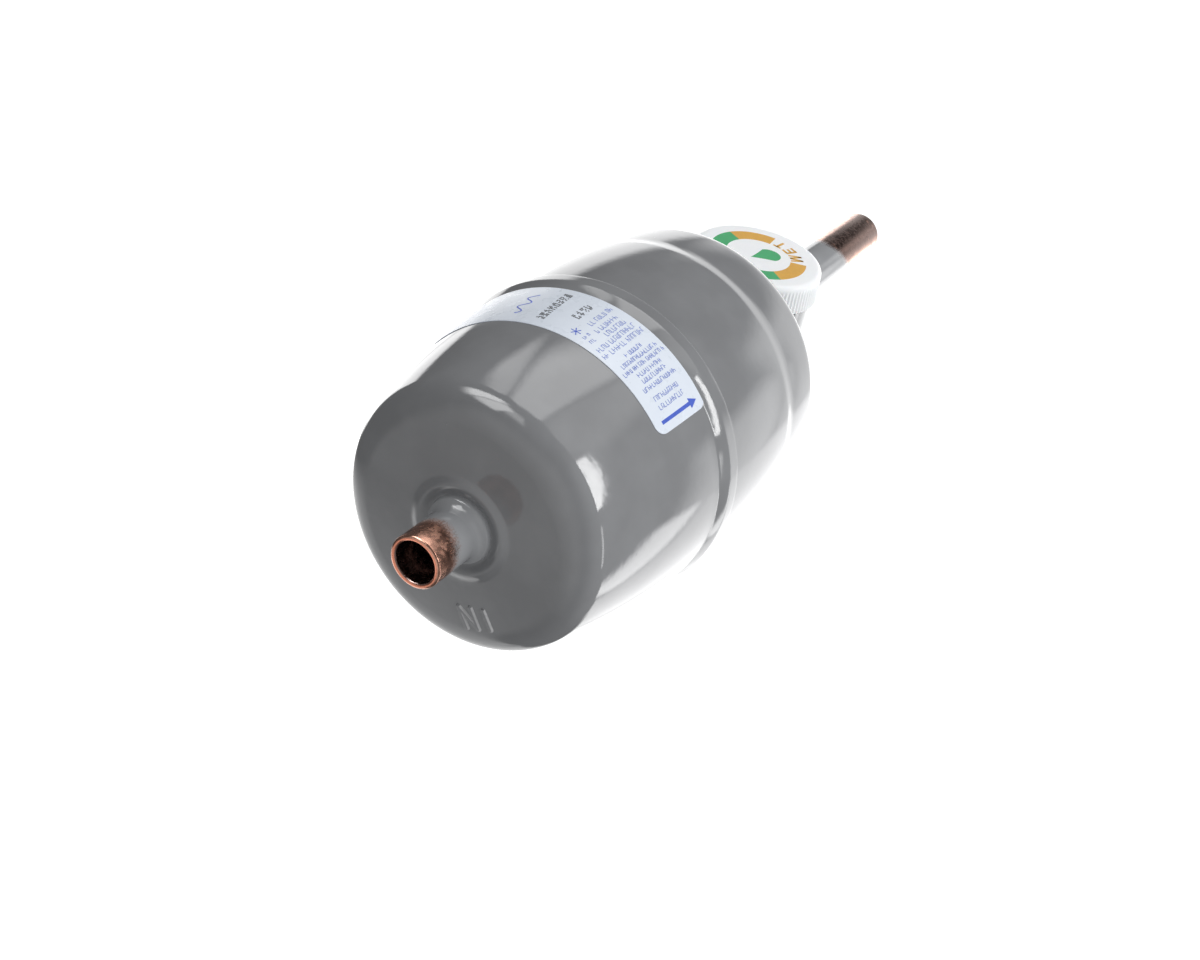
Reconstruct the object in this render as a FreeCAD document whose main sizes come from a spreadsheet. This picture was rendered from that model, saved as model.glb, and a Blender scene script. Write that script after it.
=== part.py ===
"""Refrigerant filter drier with a sight glass on its outlet side.

Two drawn steel shells meet at a belled seam and hold a moulded desiccant core, pressed by a spring
against a perforated plate.  A copper stub enters the inlet dome, a short copper nipple joins the
outlet dome to a turned sight glass body, and a longer copper tube leaves that body.  A push-on
plastic cap covers the glass.

Frame, in millimetres: the origin is the centre of the inlet stub's mouth, +X is the way the
refrigerant flows, and +Z is the axis of the sight glass and its cap.
"""
import FreeCAD, Part
import os
import re

import Sketcher

Vector = FreeCAD.Vector
Rotation = FreeCAD.Rotation

# Driving sizes in millimetres, degrees for the angles, plain counts for the numbers of holes and ribs
SIZES = {
    # copper stubs
    "tube_radius": 6.1,
    "socket_radius": 4.8,
    "socket_depth": 11.0,
    "stop_radius": 4.2,
    "lip_round": 0.45,
    "stub_tail": 2.0,
    "joint_gap": 0.05,
    "collar_radius": 7.3,
    "collar_length": 2.4,
    "collar_round": 2.0,
    # domes, the same on both shells
    "shell_wall": 1.2,
    "boss_radius": 10.3,
    "boss_width": 3.8,
    "boss_height": 0.8,
    "crown_radius": 1200.0,
    # inlet shell
    "stub_reach": 16.3,
    "inlet_length": 52.5,
    "inlet_corner": 7.8,
    "belly_place": 55.7,
    "belly_radius": 37.885,
    "barrel_radius": 200.0,
    "bell_rise": 0.95,
    "bell_length": 3.4,
    "flare_length": 2.0,
    # outlet shell
    "spigot_relief": 0.4,
    "spigot_gap": 0.05,
    "seam_land": 0.9,
    "outlet_barrel_radius": 190.0,
    "crease_place": 30.2,
    "crease_inset": 0.3,
    "crease_length": 2.2,
    "crease_drop": 0.6,
    "shoulder_curve": 150.0,
    "shoulder_drop": 0.97,
    "outlet_corner": 6.2,
    "outlet_length": 50.8,
    # label
    "label_inset": 0.5,
    "label_width": 18.2,
    "label_sweep": 108.0,
    "label_end_angle": 48.5,
    "label_lift": 0.02,
    "label_thickness": 0.12,
    "label_corner": 2.6,
    # desiccant core and what holds it
    "core_radius": 28.5,
    "core_length": 61.0,
    "core_bore": 9.0,
    "core_floor": 14.0,
    "core_edge": 2.0,
    "holder_thickness": 0.8,
    "holder_rim": 5.0,
    "spring_radius": 15.0,
    "spring_width": 3.0,
    "spring_wire": 1.2,
    "spring_turns": 3.5,
    "seat_gap": 0.12,
    "gasket_thickness": 1.2,
    "gasket_bore": 12.0,
    "pad_thickness": 4.0,
    "plate_thickness": 1.2,
    "plate_rim": 4.0,
    "perforation_radius": 1.2,
    "perforation_pitch": 3.6,
    "screen_radius": 12.5,
    "screen_length": 8.0,
    "screen_tip": 1.6,
    "screen_wall": 0.5,
    # sight glass body
    "glass_offset": 27.9,
    "drum_radius": 16.5,
    "drum_below": 10.5,
    "drum_above": 16.5,
    "drum_round": 4.0,
    "drum_chamfer": 0.6,
    "drum_socket_depth": 4.6,
    "well_radius": 10.4,
    "well_floor": 6.2,
    "glass_radius": 12.2,
    "glass_thickness": 3.4,
    "seal_thickness": 0.6,
    "ring_radius": 13.9,
    "ring_window": 9.6,
    "ring_depth": 1.7,
    "ring_proud": 0.7,
    "ring_chamfer": 0.6,
    "indicator_radius": 4.8,
    "indicator_thickness": 0.6,
    "indicator_drop": 2.2,
    "holder_cup_wall": 0.8,
    "holder_cup_rim": 0.5,
    "post_radius": 1.8,
    "outlet_reach": 80.0,
    # protective cap
    "cap_gap": 0.2,
    "cap_wall": 0.85,
    "cap_draft": 0.25,
    "cap_height": 7.9,
    "cap_overlap": 4.3,
    "cap_roof": 1.2,
    "cap_round": 1.2,
    "rib_count": 96,
    "rib_depth": 0.3,
}

# Places and radii that follow from the driving sizes
PLACES = {
    "hole_radius": "tube_radius + joint_gap",
    "boss_low": "boss_radius - boss_width / 2",
    "boss_high": "boss_radius + boss_width / 2",
    "boss_curve": "(boss_width^2 / 4 + boss_height^2) / (2 * boss_height)",
    "inlet_face": "stub_reach",
    "inlet_inside": "inlet_face + shell_wall",
    "belly_x": "inlet_face + belly_place",
    "barrel_centre": "belly_radius - barrel_radius",
    "seam_x": "inlet_face + inlet_length",
    "bell_x": "seam_x - bell_length",
    "flare_x": "bell_x - flare_length",
    "flare_radius": "barrel_centre + sqrt(barrel_radius^2 - (belly_x - flare_x)^2)",
    "bell_radius": "flare_radius + bell_rise",
    "spigot_radius": "bell_radius - shell_wall - spigot_gap",
    "spigot_x": "bell_x + spigot_relief",
    "crease_x": "seam_x + crease_place",
    "crease_radius": "spigot_radius - crease_inset",
    "shoulder_x": "crease_x + crease_length",
    "shoulder_start": "crease_radius - crease_drop",
    "shoulder_end": "shoulder_start - shoulder_drop",
    "outlet_face": "seam_x + outlet_length",
    "outlet_inside": "outlet_face - shell_wall",
    "label_far": "flare_x - label_inset",
    "label_near": "label_far - label_width",
    "plate_near": "crease_x - plate_thickness",
    "plate_radius": "crease_radius - shell_wall - joint_gap",
    "core_far": "plate_near - gasket_thickness",
    "core_near": "core_far - core_length",
    "holder_near": "core_near - holder_thickness",
    "spring_space": "holder_near - inlet_inside - seat_gap",
    "spring_rise": "spring_space - spring_wire - joint_gap",
    "glass_x": "outlet_face + glass_offset",
    "socket_floor": "drum_radius - drum_socket_depth",
    "outlet_end": "glass_x + outlet_reach",
    "ring_floor": "drum_above - ring_depth",
    "glass_floor": "ring_floor - glass_thickness",
    "seal_floor": "glass_floor - seal_thickness",
    "indicator_top": "seal_floor - indicator_drop",
    "indicator_floor": "indicator_top - indicator_thickness",
    "cap_inside": "drum_radius + cap_gap",
    "cap_outside": "cap_inside + cap_wall",
    "cap_bottom": "drum_above - cap_overlap",
}

SOLVED = "~"

document = FreeCAD.newDocument("FilterDrier")
sheet = document.addObject("Spreadsheet::Sheet", "Sizes")
for row, (alias, size) in enumerate(SIZES.items(), start=1):
    sheet.set("A%d" % row, alias)
    sheet.set("B%d" % row, str(size))
    sheet.setAlias("B%d" % row, alias)
document.recompute()


def formula(text):
    """An expression on the sheet's cells, from one written with the names above."""
    def swap(match):
        word = match.group(0)
        if word in SIZES:
            return "Sizes." + word
        if word in PLACES:
            return "(" + formula(PLACES[word]) + ")"
        return word
    return re.sub(r"[a-z][a-z_0-9]*", swap, text)


def value(text):
    """The number that such an expression comes to."""
    return float(sheet.evalExpression(formula(text)))


# Outlines for turned pieces
def at(across, up, link=None, smooth=False):
    """One corner of an outline; a place that starts with ~ is a first guess that tangency settles."""
    return {"across": across, "up": up, "link": link, "smooth": smooth}


def arc(radius, side, centre=None):
    """A round link to the next corner, bulging to the left (1) or the right (-1) of the way there."""
    return {"radius": radius, "side": side, "centre": centre}


def guess(corner):
    return Vector(value(corner["across"].lstrip(SOLVED)), value(corner["up"].lstrip(SOLVED)), 0)


def arc_middle(start, end, radius, side):
    chord = end - start
    half = chord.Length / 2
    left = Vector(-chord.y, chord.x, 0).normalize()
    return (start + end) * 0.5 + left * side * (radius - (radius ** 2 - half ** 2) ** 0.5)


def pin(sketch, geometry, point, across, up):
    """Bind one point of the sketch to the sheet, along each direction that isn't left to tangency."""
    for kind, axis, text in (("DistanceX", -2, across), ("DistanceY", -1, up)):
        if text.startswith(SOLVED):
            continue
        if text == "0":
            sketch.addConstraint(Sketcher.Constraint("PointOnObject", geometry, point, axis))
            continue
        size = value(text)
        ends = (-1, 1, geometry, point) if size > 0 else (geometry, point, -1, 1)
        index = sketch.addConstraint(Sketcher.Constraint(kind, *ends, abs(size)))
        bound = formula(text) if size > 0 else "-(" + formula(text) + ")"
        sketch.setExpression("Constraints[%d]" % index, bound)


def new_sketch(body, name, role="XZ_Plane"):
    sketch = body.newObject("Sketcher::SketchObject", name)
    plane = [feature for feature in body.Origin.OriginFeatures if feature.Role == role][0]
    sketch.AttachmentSupport = (plane, [""])
    sketch.MapMode = "FlatFace"
    return sketch


def draw_outline(sketch, corners):
    """Draw a closed outline of lines and arcs, and bind its corners, radii and centres."""
    points = [guess(corner) for corner in corners]
    ends = []
    for index, corner in enumerate(corners):
        start, end = points[index], points[(index + 1) % len(points)]
        link = corner["link"]
        if link is None:
            geometry = sketch.addGeometry(Part.LineSegment(start, end), False)
            ends.append((geometry, 1, 2))
            continue
        middle = arc_middle(start, end, value(link["radius"]), link["side"])
        geometry = sketch.addGeometry(Part.Arc(start, middle, end), False)
        forward = sketch.getPoint(geometry, 1).distanceToPoint(start) < 1e-6
        ends.append((geometry, 1, 2) if forward else (geometry, 2, 1))
    for index, corner in enumerate(corners):
        geometry, first, _ = ends[index]
        before, _, last = ends[index - 1]
        kind = "Tangent" if corner["smooth"] else "Coincident"
        sketch.addConstraint(Sketcher.Constraint(kind, before, last, geometry, first))
    for index, corner in enumerate(corners):
        geometry, first, _ = ends[index]
        pin(sketch, geometry, first, corner["across"], corner["up"])
        link = corner["link"]
        if link is None:
            continue
        bound = sketch.addConstraint(Sketcher.Constraint("Radius", geometry, value(link["radius"])))
        sketch.setExpression("Constraints[%d]" % bound, formula(link["radius"]))
        if link["centre"]:
            pin(sketch, geometry, 3, *link["centre"])


def new_body(label):
    body = document.addObject("PartDesign::Body", label)
    body.Label = label
    return body


def revolve(body, corners, axis="H_Axis", angle="360"):
    """Turn an outline about the flow axis (H_Axis) or the glass axis (V_Axis)."""
    sketch = new_sketch(body, body.Name + "_outline")
    draw_outline(sketch, corners)
    turned = body.newObject("PartDesign::Revolution", body.Name + "_turned")
    turned.Profile = sketch
    turned.ReferenceAxis = (sketch, [axis])
    turned.setExpression("Angle", formula(angle))
    sketch.Visibility = False
    document.recompute()
    return turned


def place(body, along="0", height="0"):
    body.setExpression("Placement.Base.x", formula(along))
    body.setExpression("Placement.Base.z", formula(height))


def turned_piece(label, corners, axis="H_Axis", along="0", height="0"):
    body = new_body(label)
    revolve(body, corners, axis)
    place(body, along, height)
    return body


def box_outline(low_across, high_across, low_up, high_up):
    return [at(low_across, low_up), at(high_across, low_up), at(high_across, high_up), at(low_across, high_up)]


# Drawn steel shells: a crowned dome with a raised ring round its hole, a rounded corner and a barrel wall
def inlet_shell():
    """The belled shell, whose rim slips over the other one."""
    crown = arc("crown_radius", 1, ("~inlet_face + crown_radius", "0"))
    crown_inside = arc("crown_radius - shell_wall", -1, ("~inlet_face + crown_radius", "0"))
    boss_centre = ("inlet_face - boss_height + boss_curve", "boss_radius")
    barrel = ("belly_x", "barrel_centre")
    return turned_piece("inlet_shell", [
        at("inlet_face", "hole_radius"),
        at("inlet_face", "boss_low", arc("boss_curve", 1)),
        at("inlet_face", "boss_high", crown),
        at("~inlet_face + 0.3", "~belly_radius - 13.7", arc("inlet_corner", 1), smooth=True),
        at("~inlet_face + 6.1", "~belly_radius - 6.2", arc("barrel_radius", 1, barrel), smooth=True),
        at("flare_x", "~flare_radius"),
        at("bell_x", "bell_radius"),
        at("seam_x", "bell_radius"),
        at("seam_x", "bell_radius - shell_wall"),
        at("bell_x", "bell_radius - shell_wall"),
        at("flare_x", "~flare_radius - shell_wall", arc("barrel_radius - shell_wall", -1, barrel)),
        at("~inlet_face + 6.4", "~belly_radius - 7.4", arc("inlet_corner - shell_wall", -1), smooth=True),
        at("~inlet_face + 1.5", "~belly_radius - 13.7", crown_inside, smooth=True),
        at("inlet_inside", "~boss_high - 0.6", arc("boss_curve - shell_wall", -1, boss_centre)),
        at("inlet_inside", "~boss_low + 0.6"),
        at("inlet_inside", "hole_radius"),
    ])


def outlet_shell():
    """The plain-ended shell: its wall steps in where the perforated plate seats."""
    crown = arc("crown_radius", 1, ("~outlet_face - crown_radius", "0"))
    crown_inside = arc("crown_radius - shell_wall", -1, ("~outlet_face - crown_radius", "0"))
    boss_centre = ("outlet_face + boss_height - boss_curve", "boss_radius")
    corner_guess = "~outlet_face - outlet_corner"
    return turned_piece("outlet_shell", [
        at("spigot_x", "spigot_radius"),
        at("seam_x + seam_land", "spigot_radius", arc("outlet_barrel_radius", 1)),
        at("crease_x", "crease_radius"),
        at("shoulder_x", "shoulder_start", arc("shoulder_curve", 1)),
        at(corner_guess, "shoulder_end", arc("outlet_corner", 1), smooth=True),
        at("~outlet_face - 0.4", "~shoulder_end - outlet_corner", crown, smooth=True),
        at("outlet_face", "boss_high", arc("boss_curve", 1)),
        at("outlet_face", "boss_low"),
        at("outlet_face", "hole_radius"),
        at("outlet_inside", "hole_radius"),
        at("outlet_inside", "~boss_low + 0.6", arc("boss_curve - shell_wall", -1, boss_centre)),
        at("outlet_inside", "~boss_high - 0.6", crown_inside),
        at("~outlet_face - 1.6", "~shoulder_end - outlet_corner", arc("outlet_corner - shell_wall", -1),
           smooth=True),
        at(corner_guess, "shoulder_end - shell_wall", arc("shoulder_curve - shell_wall", -1), smooth=True),
        at("shoulder_x", "shoulder_start - shell_wall"),
        at("crease_x", "crease_radius - shell_wall", arc("outlet_barrel_radius - shell_wall", -1)),
        at("seam_x + seam_land", "spigot_radius - shell_wall"),
        at("spigot_x", "spigot_radius - shell_wall"),
    ])


def seam_braze():
    """The fillet of filler that closes the seam at the bell's edge."""
    return turned_piece("seam_braze", [
        at("seam_x", "spigot_radius + spigot_gap"),
        at("seam_x + seam_land", "spigot_radius + spigot_gap"),
        at("seam_x", "bell_radius - 0.5 * shell_wall"),
    ])


# Copper stubs and the collars that join them
def inlet_fitting():
    return turned_piece("inlet_fitting", [
        at("0", "socket_radius"),
        at("0", "tube_radius - lip_round", arc("lip_round", 1)),
        at("lip_round", "tube_radius"),
        at("inlet_inside + stub_tail", "tube_radius"),
        at("inlet_inside + stub_tail", "stop_radius"),
        at("socket_depth", "stop_radius"),
        at("socket_depth", "socket_radius"),
    ])


def outlet_nipple():
    """The short tube from the outlet dome into the sight glass body."""
    return turned_piece("outlet_nipple", box_outline(
        "outlet_inside - stub_tail", "glass_x - socket_floor", "stop_radius", "tube_radius"))


def outlet_tube():
    return turned_piece("outlet_tube", [
        at("glass_x + socket_floor", "stop_radius"),
        at("glass_x + socket_floor", "tube_radius"),
        at("outlet_end - lip_round", "tube_radius", arc("lip_round", 1)),
        at("outlet_end", "tube_radius - lip_round"),
        at("outlet_end", "socket_radius"),
        at("outlet_end - socket_depth", "socket_radius"),
        at("outlet_end - socket_depth", "stop_radius"),
    ])


def inlet_collar():
    return turned_piece("inlet_collar", [
        at("inlet_face - collar_length", "hole_radius", arc("collar_round", 1)),
        at("inlet_face", "collar_radius"),
        at("inlet_face", "hole_radius"),
    ])


def outlet_collar():
    return turned_piece("outlet_collar", [
        at("outlet_face", "hole_radius"),
        at("outlet_face", "collar_radius", arc("collar_round", 1)),
        at("outlet_face + collar_length", "hole_radius"),
    ])


def drum_collar(label, facing):
    """A saddle of braze where a tube enters the round side of the sight glass body; facing is -1 or 1."""
    edge = "glass_x %s (drum_radius + collar_length / 2)" % ("-" if facing < 0 else "+")
    root = "glass_x %s socket_floor" % ("-" if facing < 0 else "+")
    ring = turned_piece(label + "_ring", [
        at(edge, "hole_radius", arc("4 * collar_length", facing * -1)),
        at(root, "collar_radius"),
        at(root, "hole_radius"),
    ])
    drum = document.addObject("Part::Cylinder", label + "_drum")
    drum.setExpression("Radius", formula("drum_radius"))
    drum.setExpression("Height", formula("drum_below + drum_above"))
    drum.setExpression("Placement.Base.x", formula("glass_x"))
    drum.setExpression("Placement.Base.z", formula("0 - drum_below"))
    saddle = document.addObject("Part::Cut", label)
    saddle.Label = label
    saddle.Base = ring
    saddle.Tool = drum
    return saddle


# Core, spring, gasket, pad and plates inside the shells
def spring_holder():
    """The dished plate that caps the core's closed end and takes the spring."""
    return turned_piece("spring_holder", [
        at("holder_near", "0"),
        at("holder_near", "core_radius + joint_gap + holder_thickness"),
        at("holder_near + holder_rim", "core_radius + joint_gap + holder_thickness"),
        at("holder_near + holder_rim", "core_radius + joint_gap"),
        at("core_near", "core_radius + joint_gap"),
        at("core_near", "0"),
    ])


def desiccant_core():
    """A moulded block, bored from its outlet end and closed at its inlet end."""
    return turned_piece("desiccant_core", [
        at("core_near", "0"),
        at("core_near", "core_radius - core_edge", arc("core_edge", 1)),
        at("core_near + core_edge", "core_radius"),
        at("core_far", "core_radius"),
        at("core_far", "core_bore"),
        at("core_near + core_floor", "core_bore"),
        at("core_near + core_floor", "0"),
    ])


def core_spring():
    """A flat-wire coil between the inlet dome and the holder."""
    body = new_body("core_spring")
    wire = new_sketch(body, "core_spring_wire")
    draw_outline(wire, box_outline(
        "spring_radius - spring_width / 2", "spring_radius + spring_width / 2", "0", "spring_wire"))
    coil = body.newObject("PartDesign::AdditiveHelix", "core_spring_coil")
    coil.Profile = wire
    coil.ReferenceAxis = (wire, ["V_Axis"])
    coil.Mode = "height-turns-angle"
    coil.setExpression("Height", formula("spring_rise"))
    coil.setExpression("Turns", formula("spring_turns"))
    body.Placement = FreeCAD.Placement(Vector(0, 0, 0), Rotation(Vector(0, 1, 0), 90))
    body.setExpression("Placement.Base.x", formula("inlet_inside + seat_gap"))
    return body


def core_gasket():
    return turned_piece("core_gasket", box_outline("core_far", "plate_near", "gasket_bore", "core_radius"))


def filter_pad():
    return turned_piece("filter_pad", box_outline(
        "plate_near - pad_thickness", "plate_near", "0", "core_bore - joint_gap"))


def outlet_plate():
    """The perforated plate that the core presses on; its rim slides in the outlet shell's wall."""
    body = new_body("outlet_plate")
    revolve(body, [
        at("crease_x", "0"),
        at("crease_x", "plate_radius"),
        at("crease_x - plate_rim", "plate_radius"),
        at("crease_x - plate_rim", "plate_radius - plate_thickness"),
        at("plate_near", "plate_radius - plate_thickness"),
        at("plate_near", "0"),
    ])
    flow_axis = [feature for feature in body.Origin.OriginFeatures if feature.Role == "X_Axis"][0]
    for ring in range(3):
        hole = new_sketch(body, "outlet_plate_hole_%d" % ring, "YZ_Plane")
        out = "0" if ring == 0 else "%d * perforation_pitch" % ring
        circle = hole.addGeometry(
            Part.Circle(Vector(value(out), 0, 0), Vector(0, 0, 1), value("perforation_radius")), False)
        pin(hole, circle, 3, out, "0")
        bound = hole.addConstraint(Sketcher.Constraint("Radius", circle, value("perforation_radius")))
        hole.setExpression("Constraints[%d]" % bound, formula("perforation_radius"))
        pocket = body.newObject("PartDesign::Pocket", "outlet_plate_pocket_%d" % ring)
        pocket.Profile = hole
        pocket.Reversed = True
        pocket.setExpression("Length", formula("crease_x + 1"))
        document.recompute()
        if ring:
            pattern = body.newObject("PartDesign::PolarPattern", "outlet_plate_ring_%d" % ring)
            pattern.Originals = [pocket]
            pattern.Axis = (flow_axis, [""])
            pattern.Angle = 360
            pattern.Occurrences = 6 * ring
            body.Tip = pattern
            document.recompute()
    return body


def outlet_screen():
    """The conical strainer behind the perforated plate."""
    return turned_piece("outlet_screen", [
        at("crease_x", "screen_radius - 3 * screen_wall"),
        at("crease_x", "screen_radius"),
        at("crease_x + screen_wall", "screen_radius"),
        at("crease_x + screen_wall", "screen_radius - 2 * screen_wall"),
        at("crease_x + screen_length", "screen_tip"),
        at("crease_x + screen_length", "0"),
        at("crease_x + screen_length - screen_wall", "0"),
        at("crease_x + screen_length - screen_wall", "screen_tip - screen_wall / 2"),
    ])


# Sight glass: body, seal, glass, ring, indicator and the plastic cap over them
def sight_glass_body():
    """A turned drum with a well for the indicator, crossed by the two tube sockets."""
    body = new_body("sight_glass_body")
    revolve(body, [
        at("0", "0 - drum_below"),
        at("drum_radius - drum_round", "0 - drum_below", arc("drum_round", -1)),
        at("drum_radius", "drum_round - drum_below"),
        at("drum_radius", "drum_above - drum_chamfer"),
        at("drum_radius - drum_chamfer", "drum_above"),
        at("ring_radius", "drum_above"),
        at("ring_radius", "ring_floor"),
        at("glass_radius", "ring_floor"),
        at("glass_radius", "seal_floor"),
        at("well_radius", "seal_floor"),
        at("well_radius", "0 - well_floor"),
        at("0", "0 - well_floor"),
    ], "V_Axis")
    passage = new_sketch(body, "sight_glass_body_passage")
    draw_outline(passage, [
        at("0 - drum_radius - 1", "0"),
        at("drum_radius + 1", "0"),
        at("drum_radius + 1", "hole_radius"),
        at("socket_floor", "hole_radius"),
        at("socket_floor", "stop_radius"),
        at("0 - socket_floor", "stop_radius"),
        at("0 - socket_floor", "hole_radius"),
        at("0 - drum_radius - 1", "hole_radius"),
    ])
    bore = body.newObject("PartDesign::Groove", "sight_glass_body_bore")
    bore.Profile = passage
    bore.ReferenceAxis = (passage, ["H_Axis"])
    bore.Angle = 360
    place(body, "glass_x")
    return body


def glass_piece(label, corners):
    return turned_piece(label, corners, "V_Axis", "glass_x")


def lens_seal():
    return glass_piece("lens_seal", box_outline(
        "well_radius", "glass_radius - joint_gap", "seal_floor", "glass_floor"))


def sight_glass():
    return glass_piece("sight_glass", box_outline("0", "glass_radius - joint_gap", "glass_floor", "ring_floor"))


def lens_ring():
    top = "drum_above + ring_proud"
    outside = "ring_radius - joint_gap"
    return glass_piece("lens_ring", [
        at("ring_window", "ring_floor"),
        at(outside, "ring_floor"),
        at(outside, top + " - ring_chamfer"),
        at(outside + " - ring_chamfer", top),
        at("ring_window + ring_chamfer", top),
        at("ring_window", top + " - ring_chamfer"),
    ])


def indicator_holder():
    """A small cup on a post that lifts the indicator close under the glass."""
    cup = "indicator_radius + joint_gap"
    return glass_piece("indicator_holder", [
        at("0", "0 - well_floor"),
        at("post_radius", "0 - well_floor"),
        at("post_radius", "indicator_floor - holder_cup_wall"),
        at(cup + " + holder_cup_wall", "indicator_floor - holder_cup_wall"),
        at(cup + " + holder_cup_wall", "indicator_top + holder_cup_rim"),
        at(cup, "indicator_top + holder_cup_rim"),
        at(cup, "indicator_floor"),
        at("0", "indicator_floor"),
    ])


def indicator_disc():
    return glass_piece("indicator_disc", box_outline(
        "0", "indicator_radius", "indicator_floor", "indicator_top"))


def protective_cap():
    """The moulded push-on cap: a drafted skirt with fine grip flutes under a rounded roof edge."""
    body = new_body("protective_cap")
    shoulder = "cap_outside - cap_draft"
    revolve(body, [
        at("cap_inside", "0"),
        at("cap_outside", "0"),
        at(shoulder, "cap_height - cap_round", arc("cap_round", 1)),
        at(shoulder + " - cap_round", "cap_height"),
        at("0", "cap_height"),
        at("0", "cap_height - cap_roof"),
        at("cap_inside", "cap_height - cap_roof"),
    ], "V_Axis")
    flute = new_sketch(body, "protective_cap_flute", "XY_Plane")
    half = "(180 / rib_count) * 1deg * 0.5"
    tip = "cap_outside - cap_draft - rib_depth"
    mouth = "cap_outside + rib_depth"
    across = "(%s) * cos(%s)" % (mouth, half)
    aside = "(%s) * sin(%s)" % (mouth, half)
    draw_outline(flute, [at(tip, "0"), at(across, aside), at(across, "0 - " + aside)])
    cut = body.newObject("PartDesign::Pocket", "protective_cap_cut")
    cut.Profile = flute
    cut.Reversed = True
    cut.setExpression("Length", formula("cap_height - 1.2 * cap_round"))
    document.recompute()
    glass_axis = [feature for feature in body.Origin.OriginFeatures if feature.Role == "Z_Axis"][0]
    flutes = body.newObject("PartDesign::PolarPattern", "protective_cap_flutes")
    flutes.Originals = [cut]
    flutes.Axis = (glass_axis, [""])
    flutes.Angle = 360
    flutes.setExpression("Occurrences", formula("rib_count"))
    body.Tip = flutes
    place(body, "glass_x", "cap_bottom")
    return body


# Label, a thin sheet that follows the inlet shell's barrel wall
def swung(feature, angle, along, aside, height):
    """Place a feature by its offsets from the flow axis, then swing it round that axis by an angle."""
    turn = "(%s) * 1deg" % angle
    feature.Placement = FreeCAD.Placement(Vector(0, 0, 0), Rotation(Vector(1, 0, 0), 1))
    feature.setExpression("Placement.Rotation.Angle", formula(angle))
    feature.setExpression("Placement.Base.x", formula(along))
    feature.setExpression("Placement.Base.y", formula(
        "(%s) * cos(%s) - (%s) * sin(%s)" % (aside, turn, height, turn)))
    feature.setExpression("Placement.Base.z", formula(
        "(%s) * sin(%s) + (%s) * cos(%s)" % (aside, turn, height, turn)))


def label_corner_cutter(name, angle, inward, edge, forward):
    """A square peg less a round one: what a rounded label corner loses.

    inward is 1 or -1, the way the sheet runs from its end; forward is 1 at the near edge, -1 at the far one.
    """
    size = "label_corner + 1"
    foot = "belly_radius * 0.8"
    square = document.addObject("Part::Box", name + "_square")
    for side in ("Length", "Width"):
        square.setExpression(side, formula(size))
    square.setExpression("Height", formula("belly_radius * 0.3"))
    along = edge + (" - 1" if forward > 0 else " - label_corner")
    aside = "0 - 1" if inward > 0 else "0 - label_corner"
    swung(square, angle, along, aside, foot)
    peg = document.addObject("Part::Cylinder", name + "_peg")
    peg.setExpression("Radius", formula("label_corner"))
    peg.setExpression("Height", formula("belly_radius * 0.3"))
    swung(peg, angle, edge + (" + label_corner" if forward > 0 else " - label_corner"),
          "label_corner" if inward > 0 else "0 - label_corner", foot)
    cutter = document.addObject("Part::Cut", name)
    cutter.Base = square
    cutter.Tool = peg
    return cutter


def label():
    sheet_body = new_body("label_sheet")
    barrel = ("belly_x", "barrel_centre")
    inside = "barrel_radius + label_lift"
    outside = inside + " + label_thickness"
    start_angle = "label_end_angle - label_sweep"
    revolve(sheet_body, [
        at("label_near", "~belly_radius - 1.9", arc(inside, 1, barrel)),
        at("label_far", "~belly_radius - 0.4"),
        at("label_far", "~belly_radius - 0.3", arc(outside, -1, barrel)),
        at("label_near", "~belly_radius - 1.7"),
    ], angle="label_sweep")
    sheet_body.Placement = FreeCAD.Placement(Vector(0, 0, 0), Rotation(Vector(1, 0, 0), 1))
    sheet_body.setExpression("Placement.Rotation.Angle", formula(start_angle))
    cutters = []
    for end, angle, inward in (("start", start_angle, -1), ("end", "label_end_angle", 1)):
        for side, edge, forward in (("near", "label_near", 1), ("far", "label_far", -1)):
            cutters.append(label_corner_cutter("label_%s_%s" % (end, side), angle, inward, edge, forward))
    corners = document.addObject("Part::MultiFuse", "label_corners")
    corners.Shapes = cutters
    rounded = document.addObject("Part::Cut", "label")
    rounded.Label = "label"
    rounded.Base = sheet_body
    rounded.Tool = corners
    return rounded


PIECES = [
    inlet_shell(), outlet_shell(), seam_braze(),
    inlet_fitting(), inlet_collar(), outlet_nipple(), outlet_collar(),
    sight_glass_body(), drum_collar("nipple_braze", -1), drum_collar("tube_braze", 1), outlet_tube(),
    lens_seal(), sight_glass(), lens_ring(), indicator_holder(), indicator_disc(), protective_cap(),
    spring_holder(), desiccant_core(), core_spring(), core_gasket(), filter_pad(), outlet_plate(),
    outlet_screen(), label(),
]
document.recompute()

# Every object has to have come out whole before anything is written
for thing in document.Objects:
    if "Invalid" in thing.State or "Error" in thing.State:
        raise RuntimeError("%s did not build" % thing.Name)
for piece in PIECES:
    if piece.Shape.isNull() or not piece.Shape.isValid() or len(piece.Shape.Solids) != 1:
        raise RuntimeError("%s is not one valid solid" % piece.Label)

os.makedirs("parts", exist_ok=True)
for piece in PIECES:
    piece.Shape.exportStep("parts/%s.step" % piece.Label)
    box = piece.Shape.BoundBox
    print("%-17s %8.2f cm3   x %7.2f to %7.2f   z %7.2f to %7.2f" % (
        piece.Label, piece.Shape.Volume / 1000, box.XMin, box.XMax, box.ZMin, box.ZMax))
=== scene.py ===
# %% [markdown]
# # A filter drier in grey enamel and bare copper
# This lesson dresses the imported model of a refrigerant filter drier.  Nearly every visible piece
# was turned, drawn or moulded round an axis, so nearly every mesh is an outline carried round a
# circle with numpy.  Lengths are in millimetres until a mesh is made.

# %% Load the frame
import math

import bpy
import numpy as np
from mathutils import Matrix, Vector


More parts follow.
